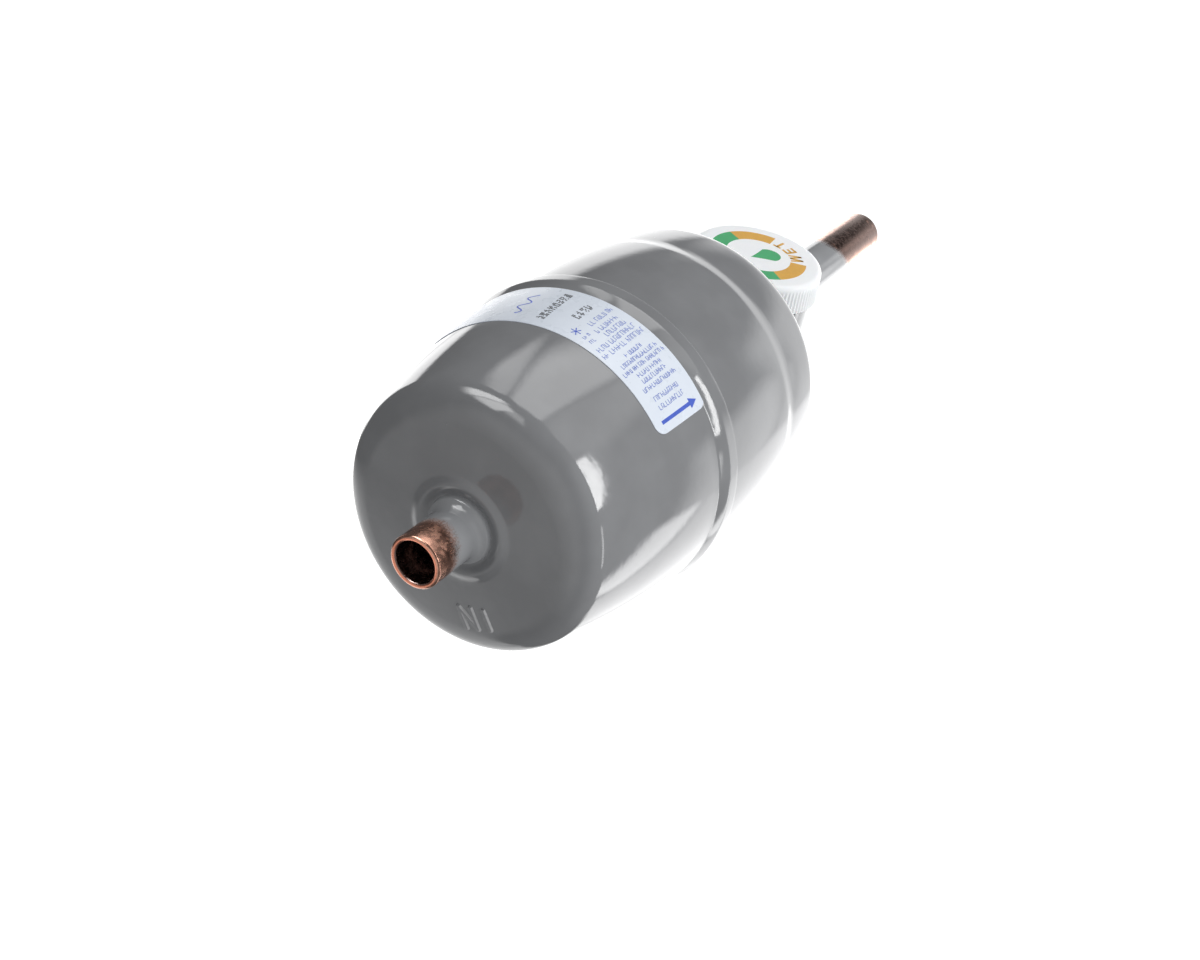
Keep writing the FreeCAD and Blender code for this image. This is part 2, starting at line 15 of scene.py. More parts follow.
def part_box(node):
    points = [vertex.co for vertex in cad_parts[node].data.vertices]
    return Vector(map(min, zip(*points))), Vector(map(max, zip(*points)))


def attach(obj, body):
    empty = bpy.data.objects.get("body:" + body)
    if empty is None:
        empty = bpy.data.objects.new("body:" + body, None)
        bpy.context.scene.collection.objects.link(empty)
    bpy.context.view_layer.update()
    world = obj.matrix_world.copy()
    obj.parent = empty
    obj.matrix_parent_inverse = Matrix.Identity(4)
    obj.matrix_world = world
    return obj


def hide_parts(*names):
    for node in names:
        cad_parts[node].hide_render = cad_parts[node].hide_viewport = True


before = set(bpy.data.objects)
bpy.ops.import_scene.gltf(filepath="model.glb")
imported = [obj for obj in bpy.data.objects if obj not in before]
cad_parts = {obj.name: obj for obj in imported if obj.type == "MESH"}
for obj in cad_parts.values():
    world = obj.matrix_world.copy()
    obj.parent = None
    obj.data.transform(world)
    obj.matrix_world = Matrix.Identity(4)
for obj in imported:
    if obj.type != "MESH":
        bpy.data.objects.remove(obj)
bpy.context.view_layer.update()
MM = 0.001


# %% [markdown]
# ## Sizes from the frame
# A node's box says where a piece starts and ends and how wide it is.  Read from the frame, and not
# typed, these numbers keep the looks on the construction when a size is changed there.

# %% Measure the nodes
def node_box(name):
    """Lowest and highest corner of a node, in millimetres."""
    low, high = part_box(name)
    return np.array(low) / MM, np.array(high) / MM


inlet_low, inlet_high = node_box("inlet_shell")
outlet_low, outlet_high = node_box("outlet_shell")
stub_end = node_box("inlet_fitting")[1][0]
nipple_low, nipple_high = node_box("outlet_nipple")
tube_low, tube_high = node_box("outlet_tube")
drum_low, drum_high = node_box("sight_glass_body")
cap_low, cap_high = node_box("protective_cap")
label_low, label_high = node_box("label")
seam_x = inlet_high[0]
bell_radius = inlet_high[2]
glass_x = (drum_low[0] + drum_high[0]) / 2
drum_radius = (drum_high[0] - drum_low[0]) / 2
tube_radius = nipple_high[2]
print("seam at %.1f, bell radius %.2f, glass at %.1f, tube radius %.1f" % (
    seam_x, bell_radius, glass_x, tube_radius))


# %% [markdown]
# ## From an outline to a solid
# A turned solid is a function of two parameters: how far along the outline, and how far round.
# The outline is an array of (along, radius) pairs, and the turn multiplies the radius by a sine
# and a cosine.  The grid of points is closed along the outline as well, or capped at its two ends.

# %% Grid helpers
def grid_cells(rows, columns, closed_rows):
    """Corner numbers of each cell of a grid whose columns join up, and whose rows may."""
    down = np.arange(rows if closed_rows else rows - 1)[:, None]
    below = (down + 1) % rows
    here = np.arange(columns)[None, :]
    beside = (here + 1) % columns
    corners = [down * columns + here, down * columns + beside,
               below * columns + beside, below * columns + here]
    return np.stack(np.broadcast_arrays(*corners), axis=-1).reshape(-1, 4)


def volume_of(points, cells, fans):
    """Signed volume: the sum of the tetrahedra between the origin and each triangle."""
    triangles = np.concatenate([cells[:, [0, 1, 2]], cells[:, [0, 2, 3]], fans])
    a, b, c = (points[triangles[:, corner]] for corner in range(3))
    return np.einsum("ij,ij->i", a, np.cross(b, c)).sum() / 6


def capped(points, rows, columns):
    """Points and triangles that close the first and the last row of a grid with a fan each."""
    first = np.arange(columns)
    last = first + (rows - 1) * columns
    middles = np.stack([points[first].mean(axis=0), points[last].mean(axis=0)])
    near, far = len(points), len(points) + 1
    fans = np.concatenate([
        np.stack([np.full(columns, near), np.roll(first, -1), first], axis=1),
        np.stack([np.full(columns, far), last, np.roll(last, -1)], axis=1),
    ])
    return np.concatenate([points, middles]), fans


# %% Make a piece
SHARP_ANGLE = math.radians(38)


def placed(name, data):
    """A new object for a mesh, a camera or a lamp, linked into the scene."""
    thing = bpy.data.objects.new(name, data)
    bpy.context.scene.collection.objects.link(thing)
    return thing


def piece(name, points, cells, fans, body, slot, material, replaces=(), smooth=True):
    """A mesh object from points in millimetres; it sits at the origin, with its place in its mesh."""
    mesh = bpy.data.meshes.new(name)
    faces = cells.tolist() + fans.tolist()
    mesh.from_pydata((points * MM).tolist(), [], faces)
    mesh.validate()
    if smooth:
        mesh.shade_smooth()
        mesh.set_sharp_from_angle(angle=SHARP_ANGLE)
    shape = placed(name, mesh)
    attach(shape, body)
    if replaces:
        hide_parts(*replaces)
    mesh.materials.append(material)
    print("%s: %d points, %d faces" % (name, len(points), len(faces)))
    return shape


def grid_piece(name, grid, closed_rows, body, slot, **rest):
    """A closed solid from a (rows, columns, 3) grid, with its faces turned outwards."""
    rows, columns = grid.shape[:2]
    points = grid.reshape(-1, 3)
    cells = grid_cells(rows, columns, closed_rows)
    fans = np.zeros((0, 3), int)
    if not closed_rows:
        points, fans = capped(points, rows, columns)
    if volume_of(points - points.mean(axis=0), cells, fans) < 0:
        cells, fans = cells[:, ::-1], fans[:, ::-1]
    return piece(name, points, cells, fans, body, slot, **rest)


def all_round(count):
    """Angles in degrees, evenly spaced round a full turn."""
    return np.arange(count) * 360.0 / count


def circle(turn):
    """Places on a circle of radius 1, as (cosine, sine)."""
    return np.stack([np.cos(turn), np.sin(turn)], axis=-1)


def round_flow(along, radius, angle):
    """Places round the X axis; the angle, in degrees, starts at +Z and goes towards -Y."""
    turn = np.radians(angle)
    return np.stack(np.broadcast_arrays(along, -radius * np.sin(turn), radius * np.cos(turn)), axis=-1)


def about_flow(outline, angles):
    """Turn an outline of (along, radius) round the X axis."""
    return round_flow(outline[:, :1], outline[:, 1:], angles[None, :])


def about_glass(outline, angles):
    """Turn (height, radius) round the sight glass's upright axis; the angle goes from +X towards +Y."""
    turn = np.radians(angles)[None, :]
    height, radius = outline[:, :1], outline[:, 1:2]
    return np.stack(np.broadcast_arrays(
        glass_x + radius * np.cos(turn), radius * np.sin(turn), height), axis=-1)


# %% [markdown]
# ## Outlines with rounded corners
# No edge on a painted or moulded part is sharp.  An outline is written as a few corners, and each
# is replaced by the arc that touches both of its sides.  The arc of radius r starts
# r / tan(half the corner's angle) before the corner.

# %% Rounded outline
def rounded(corners, steps=7, closed=False):
    """Points along straight sides and tangent arcs; each corner is (along, radius, rounding)."""
    corners = [np.array(corner, float) for corner in corners]
    points = []
    for index, corner in enumerate(corners):
        here, rounding = corner[:2], corner[2]
        inner = closed or 0 < index < len(corners) - 1
        if not inner or rounding == 0:
            points.append(here[None, :])
            continue
        back = corners[index - 1][:2] - here
        ahead = corners[(index + 1) % len(corners)][:2] - here
        back /= np.linalg.norm(back)
        ahead /= np.linalg.norm(ahead)
        half = math.acos(np.clip(back @ ahead, -1, 1)) / 2
        bisector = (back + ahead) / np.linalg.norm(back + ahead)
        centre = here + bisector * rounding / math.sin(half)
        start = here + back * rounding / math.tan(half) - centre
        sweep = math.pi - 2 * half
        side = np.sign(start[0] * bisector[1] - start[1] * bisector[0])
        turn = np.linspace(0, sweep, steps) * -side
        points.append(centre + np.stack([
            start[0] * np.cos(turn) - start[1] * np.sin(turn),
            start[0] * np.sin(turn) + start[1] * np.cos(turn)], axis=1))
    return np.concatenate(points)


def resampled(outline, step):
    """The same outline with extra points, so that no side is longer than a step."""
    gaps = np.linalg.norm(np.diff(outline, axis=0), axis=1)
    counts = np.maximum(1, np.ceil(gaps / step).astype(int))
    pieces = [
        outline[index] + (outline[index + 1] - outline[index]) * (np.arange(count) / count)[:, None]
        for index, count in enumerate(counts)
    ]
    return np.concatenate(pieces + [outline[-1:]])


# %% [markdown]
# ## Node recipes
# Every finish is procedural.  One helper adds a node and sets its sockets, and the others are the
# steps that the finishes share, such as a noise on the piece's own coordinates.

# %% Node helpers
def recipe(name):
    """A new node material, its tree and its Principled shader."""
    material = bpy.data.materials.new(name)
    material.use_nodes = True
    tree = material.node_tree
    return material, tree, tree.nodes["Principled BSDF"]


def add(tree, kind, settings=None, **sockets):
    """Add a shader node; plain settings are its options, and sockets are values or links."""
    node = tree.nodes.new("ShaderNode" + kind)
    for option, value in (settings or {}).items():
        setattr(node, option, value)
    for name, value in sockets.items():
        socket = node.inputs[int(name[1:])] if name[0] == "i" and name[1:].isdigit() else node.inputs[name]
        if isinstance(value, bpy.types.NodeSocket):
            tree.links.new(value, socket)
        else:
            socket.default_value = value
    return node


def here(tree):
    """The piece's own coordinates, in metres."""
    return add(tree, "TexCoord").outputs["Object"]


def calculate(tree, operation, first, second=0.0, third=0.0):
    """One step of arithmetic on values."""
    return add(tree, "Math", {"operation": operation}, i0=first, i1=second, i2=third).outputs[0]


def product(tree, first, second):
    """Two values multiplied."""
    return calculate(tree, "MULTIPLY", first, second)


def towards(tree, place, way):
    """How far a place lies in a direction."""
    return add(tree, "VectorMath", {"operation": "DOT_PRODUCT"}, i0=place, i1=way).outputs["Value"]


def axes_of(tree, place):
    """The X, Y and Z of a place."""
    return add(tree, "SeparateXYZ", Vector=place).outputs


def noise(tree, place, size, detail=2.0, rough=0.5):
    """A noise whose lumps are about this many millimetres across."""
    scale = 1 / (size * MM)
    return add(tree, "TexNoise", Vector=place, Scale=scale, Detail=detail, Roughness=rough).outputs["Fac"]


def stretched(tree, place, along, across):
    """Coordinates scaled along the flow axis and across it, for marks that run one way."""
    return add(tree, "Mapping", Vector=place, Scale=(along, across, across)).outputs["Vector"]


def ramp(tree, value, low, high, to_low=0.0, to_high=1.0):
    """Smoothly carry a value from one range to another."""
    node = add(tree, "MapRange", {"interpolation_type": "SMOOTHSTEP"}, Value=value, **{
        "From Min": low, "From Max": high, "To Min": to_low, "To Max": to_high})
    return node.outputs["Result"]


def blend(tree, share, first, second):
    """Mix two colours."""
    return add(tree, "Mix", {"data_type": "RGBA"}, i0=share, i6=first, i7=second).outputs[2]


def bump(tree, height, depth, before=None):
    """Turn a height into a shading normal; depth is in millimetres."""
    node = add(tree, "Bump", Height=height, Distance=depth * MM, Strength=1.0)
    if before is not None:
        tree.links.new(before, node.inputs["Normal"])
    return node.outputs["Normal"]


def paler(tree, tone, share):
    """A colour multiplied by a share."""
    return add(tree, "VectorMath", {"operation": "SCALE"}, i0=tone, i3=share).outputs[0]


def grey(tree, value):
    """A colour with one value in all its channels."""
    return add(tree, "CombineColor", i0=value, i1=value, i2=value).outputs[0]


def color(red, green, blue):
    """An opaque colour in linear light."""
    return (red, green, blue, 1.0)


def wear(tree, shader, tone, rough, normal):
    """Link a colour, a roughness and a normal to the shader."""
    for socket, value in (("Base Color", tone), ("Roughness", rough), ("Normal", normal)):
        tree.links.new(value, shader.inputs[socket])


print("node helpers ready")

# %% [markdown]
# ## Grey enamel
# The shells are sprayed and baked.  Such a coat flows into a faint orange peel of lumps a
# millimetre or two wide and catches a little dust.  The peel has to be shallow, or reflections
# break up.  On copper and on the collars the enamel is painted paler, as painted light for faces
# that catch more light, and a painted highlight lies where a value stored on the mesh's points says so.

# %% Enamel
ENAMEL_LIGHT = color(0.242, 0.248, 0.258)
ENAMEL_DARK = color(0.214, 0.219, 0.228)
# painted highlight on the raised letters' edges that face -Y
ENAMEL_PAINTED_HIGHLIGHT = color(0.56, 0.565, 0.575)
# painted light: the enamel on the copper and the collars is made this much paler, for faces that catch more
# light
ENAMEL_PAINTED_LIGHT = 1.35
TONE_SIZE = 14.0
SHEEN_SIZE, SHEEN = 6.0, (0.055, 0.085)
PEEL_SIZE, PEEL_DEPTH = 1.7, 0.010
NOISE_BAND = (0.3, 0.7)
NIB_SPACING, NIB_SIZE, NIB_DEPTH = 9.0, 0.030, 0.05


def enamel_coat(tree, place):
    """Colour, roughness and normal of the enamel, for any piece that wears it."""
    tone = blend(tree, ramp(tree, noise(tree, place, TONE_SIZE, 3.0), *NOISE_BAND), ENAMEL_DARK, ENAMEL_LIGHT)
    rough = ramp(tree, noise(tree, place, SHEEN_SIZE), *NOISE_BAND, *SHEEN)
    specks = add(tree, "TexVoronoi", Vector=place, Scale=1 / (NIB_SPACING * MM))
    nibs = ramp(tree, specks.outputs["Distance"], NIB_SIZE, 0.0)
    peel = bump(tree, noise(tree, place, PEEL_SIZE, 1.0), PEEL_DEPTH)
    normal = bump(tree, nibs, NIB_DEPTH, peel)
    return tone, rough, normal


def sprayed(name, share):
    """The enamel as a material; share multiplies its colour."""
    material, tree, shader = recipe(name)
    tone, rough, normal = enamel_coat(tree, here(tree))
    # Painted highlight: the enamel turns lighter where a value on the mesh's points says so.
    painted_highlight = add(tree, "Attribute", {"attribute_name": "painted_highlight"}).outputs["Fac"]
    wear(tree, shader, blend(tree, painted_highlight, paler(tree, tone, share), ENAMEL_PAINTED_HIGHLIGHT), rough, normal)
    return material


enamel = sprayed("enamel_grey", 1.0)
# painted light: a paler enamel for the collars, whose faces catch more light
enamel_painted_light = sprayed("enamel_painted_light", ENAMEL_PAINTED_LIGHT)
print("made", enamel.name, enamel_painted_light.name)

# %% [markdown]
# ## Copper, and copper with overspray
# The tube ends are masked before the spray, so the bare copper keeps its pink, with brown oxide
# left by the brazing heat and fine marks along the tube.  Patches of dark oxide scale are kept to
# the side that faces up and towards -Y, where they are painted shade.  The paint's edge fades into
# single droplets: its mask is a distance along the tube plus a share of the height, broken up by noise.

# %% Copper
COPPER_BRIGHT = color(0.66, 0.36, 0.265)
COPPER_BROWN = color(0.26, 0.135, 0.10)
# dark oxide scale, shown only on one side as painted shade
COPPER_SCALE_AND_SHADE = color(0.115, 0.062, 0.048)
COPPER_LIP = color(0.62, 0.235, 0.15)
COPPER_BORE = color(0.36, 0.26, 0.235)
PATCH_SIZE, FRECKLE_SIZE, BURN_SIZE, WEAR_SIZE = 3.2, 0.30, 5.0, 1.1
# the side, and the band across it, where the dark scale shows as painted shade
SHADED_SIDE, SHADED_SIDE_BAND = (0.0, -0.50, 0.866), (0.50, 0.86)
LIP_BAND, BORE_BAND = (5.75, 5.45), (5.15, 4.9)
COPPER_ROUGH = (0.16, 0.34)
DRAW_MARKS, DRAW_DEPTH = (40.0, 1500.0), 0.006
WANDER_SIZE, WANDER = 4.0, 2.4
DROPLET_SIZE = 0.35
FADE_SPREAD = 0.62
PAINT_STEP = 0.04


def copper_skin(tree, place, scale):
    """Colour, roughness and normal of drawn tube, and a mask of its bore; scale is the oxide's share."""
    patches = ramp(tree, noise(tree, place, PATCH_SIZE, 4.0, 0.65), 0.40, 0.75)
    freckles = ramp(tree, noise(tree, place, FRECKLE_SIZE, 2.0), 0.45, 0.75, 0.0, 0.4)
    tone = blend(tree, calculate(tree, "MAXIMUM", patches, freckles), COPPER_BRIGHT, COPPER_BROWN)
    scale_and_shade = ramp(tree, noise(tree, place, BURN_SIZE, 3.0, 0.6), 0.62 - scale, 0.82 - scale)
    # Painted shade: the dark scale only shows on the side that faces up and towards -Y.
    low, high = (share * tube_radius * MM for share in SHADED_SIDE_BAND)
    scale_and_shade = product(tree, scale_and_shade, ramp(tree, towards(tree, place, SHADED_SIDE), low, high))
    tone = blend(tree, scale_and_shade, tone, COPPER_SCALE_AND_SHADE)
    axes = axes_of(tree, place)
    squares = calculate(tree, "MULTIPLY_ADD", axes["Z"], axes["Z"], product(tree, axes["Y"], axes["Y"]))
    from_axis = calculate(tree, "SQRT", squares)
    lip, bore = (ramp(tree, from_axis, start * MM, end * MM) for start, end in (LIP_BAND, BORE_BAND))
    tone = blend(tree, bore, blend(tree, lip, tone, COPPER_LIP), COPPER_BORE)
    marks = noise(tree, stretched(tree, place, *DRAW_MARKS), 1 / MM)
    rough = ramp(tree, noise(tree, place, WEAR_SIZE, 3.0), 0.3, 0.75, *COPPER_ROUGH)
    return tone, rough, bump(tree, marks, DRAW_DEPTH), bore


def painted_copper(name, edge, lean, fade, paint_beyond, scale):
    """Copper with enamel to one side of an edge, in millimetres along the tube, that leans with Z."""
    material, tree, shader = recipe(name)
    place = here(tree)
    axes = axes_of(tree, place)
    line = calculate(tree, "MULTIPLY_ADD", axes["Z"], -lean / tube_radius, axes["X"])
    line = calculate(tree, "MULTIPLY_ADD", noise(tree, place, WANDER_SIZE), WANDER * MM, line)
    line = calculate(tree, "MULTIPLY_ADD", noise(tree, place, DROPLET_SIZE, 1.0), fade * MM, line)
    middle = (edge + WANDER / 2 + fade / 2) * MM
    spread = (FADE_SPREAD if paint_beyond else -FADE_SPREAD) * fade * MM
    bare_tone, bare_rough, bare_normal, bore = copper_skin(tree, place, scale)
    painted = ramp(tree, line, middle - spread, middle + spread)
    painted = product(tree, painted, calculate(tree, "SUBTRACT", 1.0, bore))
    coat_tone, coat_rough, coat_normal = enamel_coat(tree, place)
    # painted light: the enamel over the copper is paler
    tone = blend(tree, painted, bare_tone, paler(tree, coat_tone, ENAMEL_PAINTED_LIGHT))
    rough = add(tree, "Mix", {"data_type": "FLOAT"}, i0=painted, i2=bare_rough, i3=coat_rough)
    turn = add(tree, "Mix", {"data_type": "VECTOR"}, i0=painted, i4=bare_normal, i5=coat_normal)
    wear(tree, shader, tone, rough.outputs[0], bump(tree, painted, PAINT_STEP, turn.outputs[1]))
    tree.links.new(calculate(tree, "SUBTRACT", 1.0, painted), shader.inputs["Metallic"])
    return material


stub_copper = painted_copper("copper_stub", edge=5.6, lean=2.0, fade=2.8, paint_beyond=True, scale=0.10)
tube_copper = painted_copper(
    "copper_tube", edge=205.0, lean=-6.0, fade=2.6, paint_beyond=False, scale=0.42)
print("made", stub_copper.name, tube_copper.name)


# %% [markdown]
# ## Plain finishes
# Plastic, ink, label film, brass, rubber and the pieces inside differ only in their two tones,
# their grain, and how rough and metallic they are.  One function makes them all from one table.

# %% Grained finishes
FINISHES = {
    # light tone, dark tone, grain size and depth in millimetres, roughness range, metallic if it is
    "cap_plastic_white": ((0.96, 0.98, 1.0), (0.945, 0.965, 0.99), 0.5, 0.004, (0.32, 0.42)),
    "label_film_white": ((0.75, 0.81, 0.90), (0.74, 0.80, 0.89), 3.0, 0.002, (0.26, 0.32)),
    "ink_blue": ((0.055, 0.12, 0.60), (0.045, 0.10, 0.52), 0.4, 0.002, (0.35, 0.5)),
    "ink_blue_text": ((0.13, 0.20, 0.58), (0.11, 0.17, 0.52), 0.4, 0.002, (0.35, 0.5)),
    "ink_black": ((0.025, 0.026, 0.03), (0.015, 0.016, 0.02), 0.3, 0.002, (0.4, 0.55)),
    "ink_green": ((0.045, 0.41, 0.155), (0.038, 0.37, 0.135), 0.6, 0.002, (0.34, 0.44)),
    "ink_amber": ((0.74, 0.40, 0.055), (0.69, 0.365, 0.045), 0.6, 0.002, (0.34, 0.44)),
    "brass_turned": ((0.80, 0.60, 0.30), (0.66, 0.47, 0.22), 1.2, 0.006, (0.18, 0.34), 1.0),
    "steel_plated": ((0.62, 0.62, 0.60), (0.48, 0.48, 0.47), 0.8, 0.004, (0.18, 0.32), 1.0),
    "rubber_black": ((0.035, 0.035, 0.037), (0.02, 0.02, 0.022), 0.4, 0.01, (0.55, 0.7)),
    "paper_green": ((0.10, 0.42, 0.22), (0.07, 0.34, 0.17), 0.3, 0.01, (0.75, 0.9)),
    "spring_steel_wire": ((0.40, 0.41, 0.43), (0.28, 0.29, 0.31), 0.6, 0.004, (0.22, 0.36), 1.0),
    "desiccant_block": ((0.70, 0.64, 0.54), (0.55, 0.49, 0.40), 0.9, 0.12, (0.85, 0.95)),
    "felt_grey": ((0.55, 0.53, 0.48), (0.42, 0.40, 0.36), 0.4, 0.08, (0.9, 1.0)),
    "fibre_pad": ((0.86, 0.84, 0.74), (0.72, 0.70, 0.58), 0.5, 0.10, (0.8, 0.95)),
    "mesh_steel": ((0.50, 0.50, 0.49), (0.22, 0.22, 0.22), 0.35, 0.05, (0.3, 0.45), 1.0),
}


def grained(name, light, dark, size, depth, rough, metallic=0.0):
    """A material whose grain, one noise, drives its tone, its roughness and its bump."""
    material, tree, shader = recipe(name)
    grain = noise(tree, here(tree), size, 3.0)
    tone = blend(tree, ramp(tree, grain, *NOISE_BAND), color(*dark), color(*light))
    wear(tree, shader, tone, ramp(tree, grain, 0.25, 0.75, *rough), bump(tree, grain, depth))
    shader.inputs["Metallic"].default_value = metallic
    return material


finish = {name: grained(name, *row) for name, row in FINISHES.items()}
cap_shader = finish["cap_plastic_white"].node_tree.nodes["Principled BSDF"]
cap_shader.inputs["Subsurface Weight"].default_value = 0.05
cap_shader.inputs["Subsurface Scale"].default_value = 0.001
print("plain finishes:", len(finish))

# %% Glass
glass, tree, shader = recipe("glass_clear")
smear = ramp(tree, noise(tree, here(tree), 4.0), 0.35, 0.7, 0.01, 0.05)
tree.links.new(smear, shader.inputs["Roughness"])
shader.inputs["Base Color"].default_value = color(0.93, 0.97, 0.95)
shader.inputs["Transmission Weight"].default_value = 1.0
shader.inputs["IOR"].default_value = 1.5
finish.update({material.name: material for material in (enamel, stub_copper, tube_copper, glass)})
print("made", glass.name)

# %% [markdown]
# ## The drawn shells
# Each shell was drawn from sheet: a crowned dome with a raised ring round its hole, a rounded
# corner, and a wall that swells a little.  The inlet shell's bell opens in a straight flare.  The
# outline is worked out in depth behind the dome's face, and the inner wall is the outer one moved
# along its normals by the sheet's thickness.

# %% Shell outline in parts
SHEET = 1.2
RING_PLACE = 10.3
RING_HALF = 2.35
RING_HEIGHT = 0.8
CROWN_RADIUS = 1200.0
CROWN_START = 1.9
RING_ROWS = (8.0, 12.65)
JOINT_GAP = 0.05
hole_radius = tube_radius + JOINT_GAP
crown_edge = RING_PLACE + CROWN_START
crown_centre = np.array([math.sqrt(CROWN_RADIUS ** 2 - crown_edge ** 2), 0.0])


def dome_depth(radius):
    """Crown: a large circle; ring: half a cosine wave each side of its crest."""
    crown = np.where(radius > crown_edge, crown_centre[0] - np.sqrt(CROWN_RADIUS ** 2 - radius ** 2), 0.0)
    reach = np.clip((radius - RING_PLACE) / RING_HALF, -1, 1)
    ring = 0.5 + 0.5 * np.cos(np.pi * reach)
    return crown - (crown + RING_HEIGHT) * ring


def far_meeting(first, first_reach, second, second_reach):
    """The point at given distances from two centres, the one further from the axis."""
    gap = second - first
    length = np.linalg.norm(gap)
    along = (first_reach ** 2 - second_reach ** 2 + length ** 2) / (2 * length)
    aside = math.sqrt(first_reach ** 2 - along ** 2)
    sideways = np.array([-gap[1], gap[0]]) / length
    middle = first + gap / length * along
    return max(middle + sideways * aside, middle - sideways * aside, key=lambda point: point[1])


def corner_arc(corner, wall_centre, wall_radius, count):
    """The arc that runs from the crown into the wall, touching both circles."""
    centre = far_meeting(crown_centre, CROWN_RADIUS - corner, wall_centre, wall_radius - corner)
    starts = []
    for other, reach in ((crown_centre, CROWN_RADIUS), (wall_centre, wall_radius)):
        touch = other + (centre - other) * reach / np.linalg.norm(centre - other)
        starts.append(math.atan2(touch[1] - centre[1], touch[0] - centre[0]))
    turn = np.linspace(starts[0] % (2 * math.pi), starts[1] % (2 * math.pi), count)
    return centre + corner * circle(turn)


def arc_height(depth, centre, radius):
    """Distance from the axis of a wall that is an arc of a large circle."""
    return centre[1] + np.sqrt(radius ** 2 - (depth - centre[0]) ** 2)


def swept_step(depth, start, end):
    """0 before the start, 1 after the end, and an S curve between them."""
    share = np.clip((depth - start) / (end - start), 0, 1)
    return share * share * (3 - 2 * share)


def straight_step(depth, start, end, bend):
    """0 before the start and 1 after the end; straight between, but for a bend at each end.

    Over the first bend, which is a share of the way, the slope grows evenly, and over the last it
    dies down in the same way.
    """
    share = np.clip((depth - start) / (end - start), 0, 1)
    growing = share ** 2 / (2 * bend * (1 - bend))
    steady = (share - bend / 2) / (1 - bend)
    dying = 1 - (1 - share) ** 2 / (2 * bend * (1 - bend))
    return np.select([share < bend, share > 1 - bend], [growing, dying], steady)


def moved_inwards(outline, wall):
    """The outline moved along its own normals, towards the inside of the shell."""
    slope = np.gradient(outline, axis=0)
    slope /= np.linalg.norm(slope, axis=1)[:, None]
    return outline + wall * np.stack([slope[:, 1], -slope[:, 0]], axis=1)


def with_wall(outline, lip, wall):
    """A closed outline: the outer face, its rounded lip, and a coarser inner face on the way back."""
    inner = moved_inwards(outline, wall)[::-1]
    kept = np.unique(np.append(np.arange(0, len(inner), 3), len(inner) - 1))
    return np.concatenate([outline, lip, inner[kept]])


def chained(places, counts):
    """Rows evenly spaced from each place to the next, without the first of all."""
    return np.concatenate([
        np.linspace(start, end, count)[1:] for start, end, count in zip(places, places[1:], counts)])


def crown_outline(*outer_rows):
    """The crown from its hole outwards: close rows over the ring, then the radii that are given."""
    ring_start, ring_end = RING_ROWS
    ring_rows = np.linspace(ring_start, ring_end, 22)[:-1]
    radii = np.concatenate([np.linspace(hole_radius, ring_start, 5)[:-1], ring_rows, *outer_rows])
    return np.stack([dome_depth(radii), radii], axis=1)


print("crown centre at depth %.1f" % crown_centre[0])

# %% Inlet shell outline
inlet_face = inlet_low[0] + RING_HEIGHT
inlet_depth = seam_x - inlet_face
BARREL_RADIUS = 200.0
BELLY_RADIUS = 37.885
BELLY_DEPTH = 55.7
INLET_CORNER = 7.8
BELL_LENGTH = 3.4
FLARE_LENGTH = 4.0
FLARE_BEND = 0.16
LIP = 0.32
LETTER_LOW, LETTER_STEP = 17.6, 0.1
barrel_centre = np.array([BELLY_DEPTH, BELLY_RADIUS - BARREL_RADIUS])

inlet_corner = corner_arc(INLET_CORNER, barrel_centre, BARREL_RADIUS, 60)
crown = crown_outline(
    np.linspace(RING_ROWS[1], LETTER_LOW, 6)[:-1],
    np.arange(LETTER_LOW, inlet_corner[0, 1] - LETTER_STEP / 2, LETTER_STEP))
flare_end = inlet_depth - BELL_LENGTH
flare_start = flare_end - FLARE_LENGTH
wall_depths = chained([inlet_corner[-1, 0], flare_start, flare_end, inlet_depth - LIP], [18, 16, 5])
flare = straight_step(wall_depths, flare_start, flare_end, FLARE_BEND)
barrel = arc_height(wall_depths, barrel_centre, BARREL_RADIUS)
wall = np.stack([wall_depths, barrel + (bell_radius - barrel) * flare], axis=1)
lip_turn = np.radians(np.linspace(90, 0, 7))[1:]
bell_lip = np.array([inlet_depth - LIP, bell_radius - LIP]) + LIP * circle(lip_turn)
inlet_outline = with_wall(np.concatenate([crown, inlet_corner, wall]), bell_lip, SHEET)
inlet_outline[:, 0] += inlet_face
print("inlet outline: %d points, corner ends at depth %.1f" % (len(inlet_outline), inlet_corner[-1, 0]))

# %% [markdown]
# ## Raised letters
# The way in stands on the dome as two raised capitals.  A point's height depends on its distance
# from the nearest stroke, so one formula on the dome's own grid raises them with soft shoulders.
# The grid is fine only where the letters stand.  The edge that faces -Y carries a painted
# highlight: there a place is nearer to the strokes once they are shifted that way.

# %% Letter strokes
LETTER_HALF_WIDTH = 0.36
LETTER_SHOULDER = 0.26
LETTER_HEIGHT = 0.40
LETTER_ZONE = (146.0, 174.5)
# shift, margin and width of the painted highlight along the letters' edges
HIGHLIGHT_SHIFT = np.array([-0.3, 0.0])
HIGHLIGHT_MARGIN = 0.09
HIGHLIGHT_WIDTH = (0.08, 0.26)


def distance_to_stroke(places, start, end):
    """Distance of each place from a straight stroke."""
    way = end - start
    share = np.clip(((places - start) @ way) / (way @ way), 0, 1)
    return np.linalg.norm(places - start - share[..., None] * way, axis=-1)


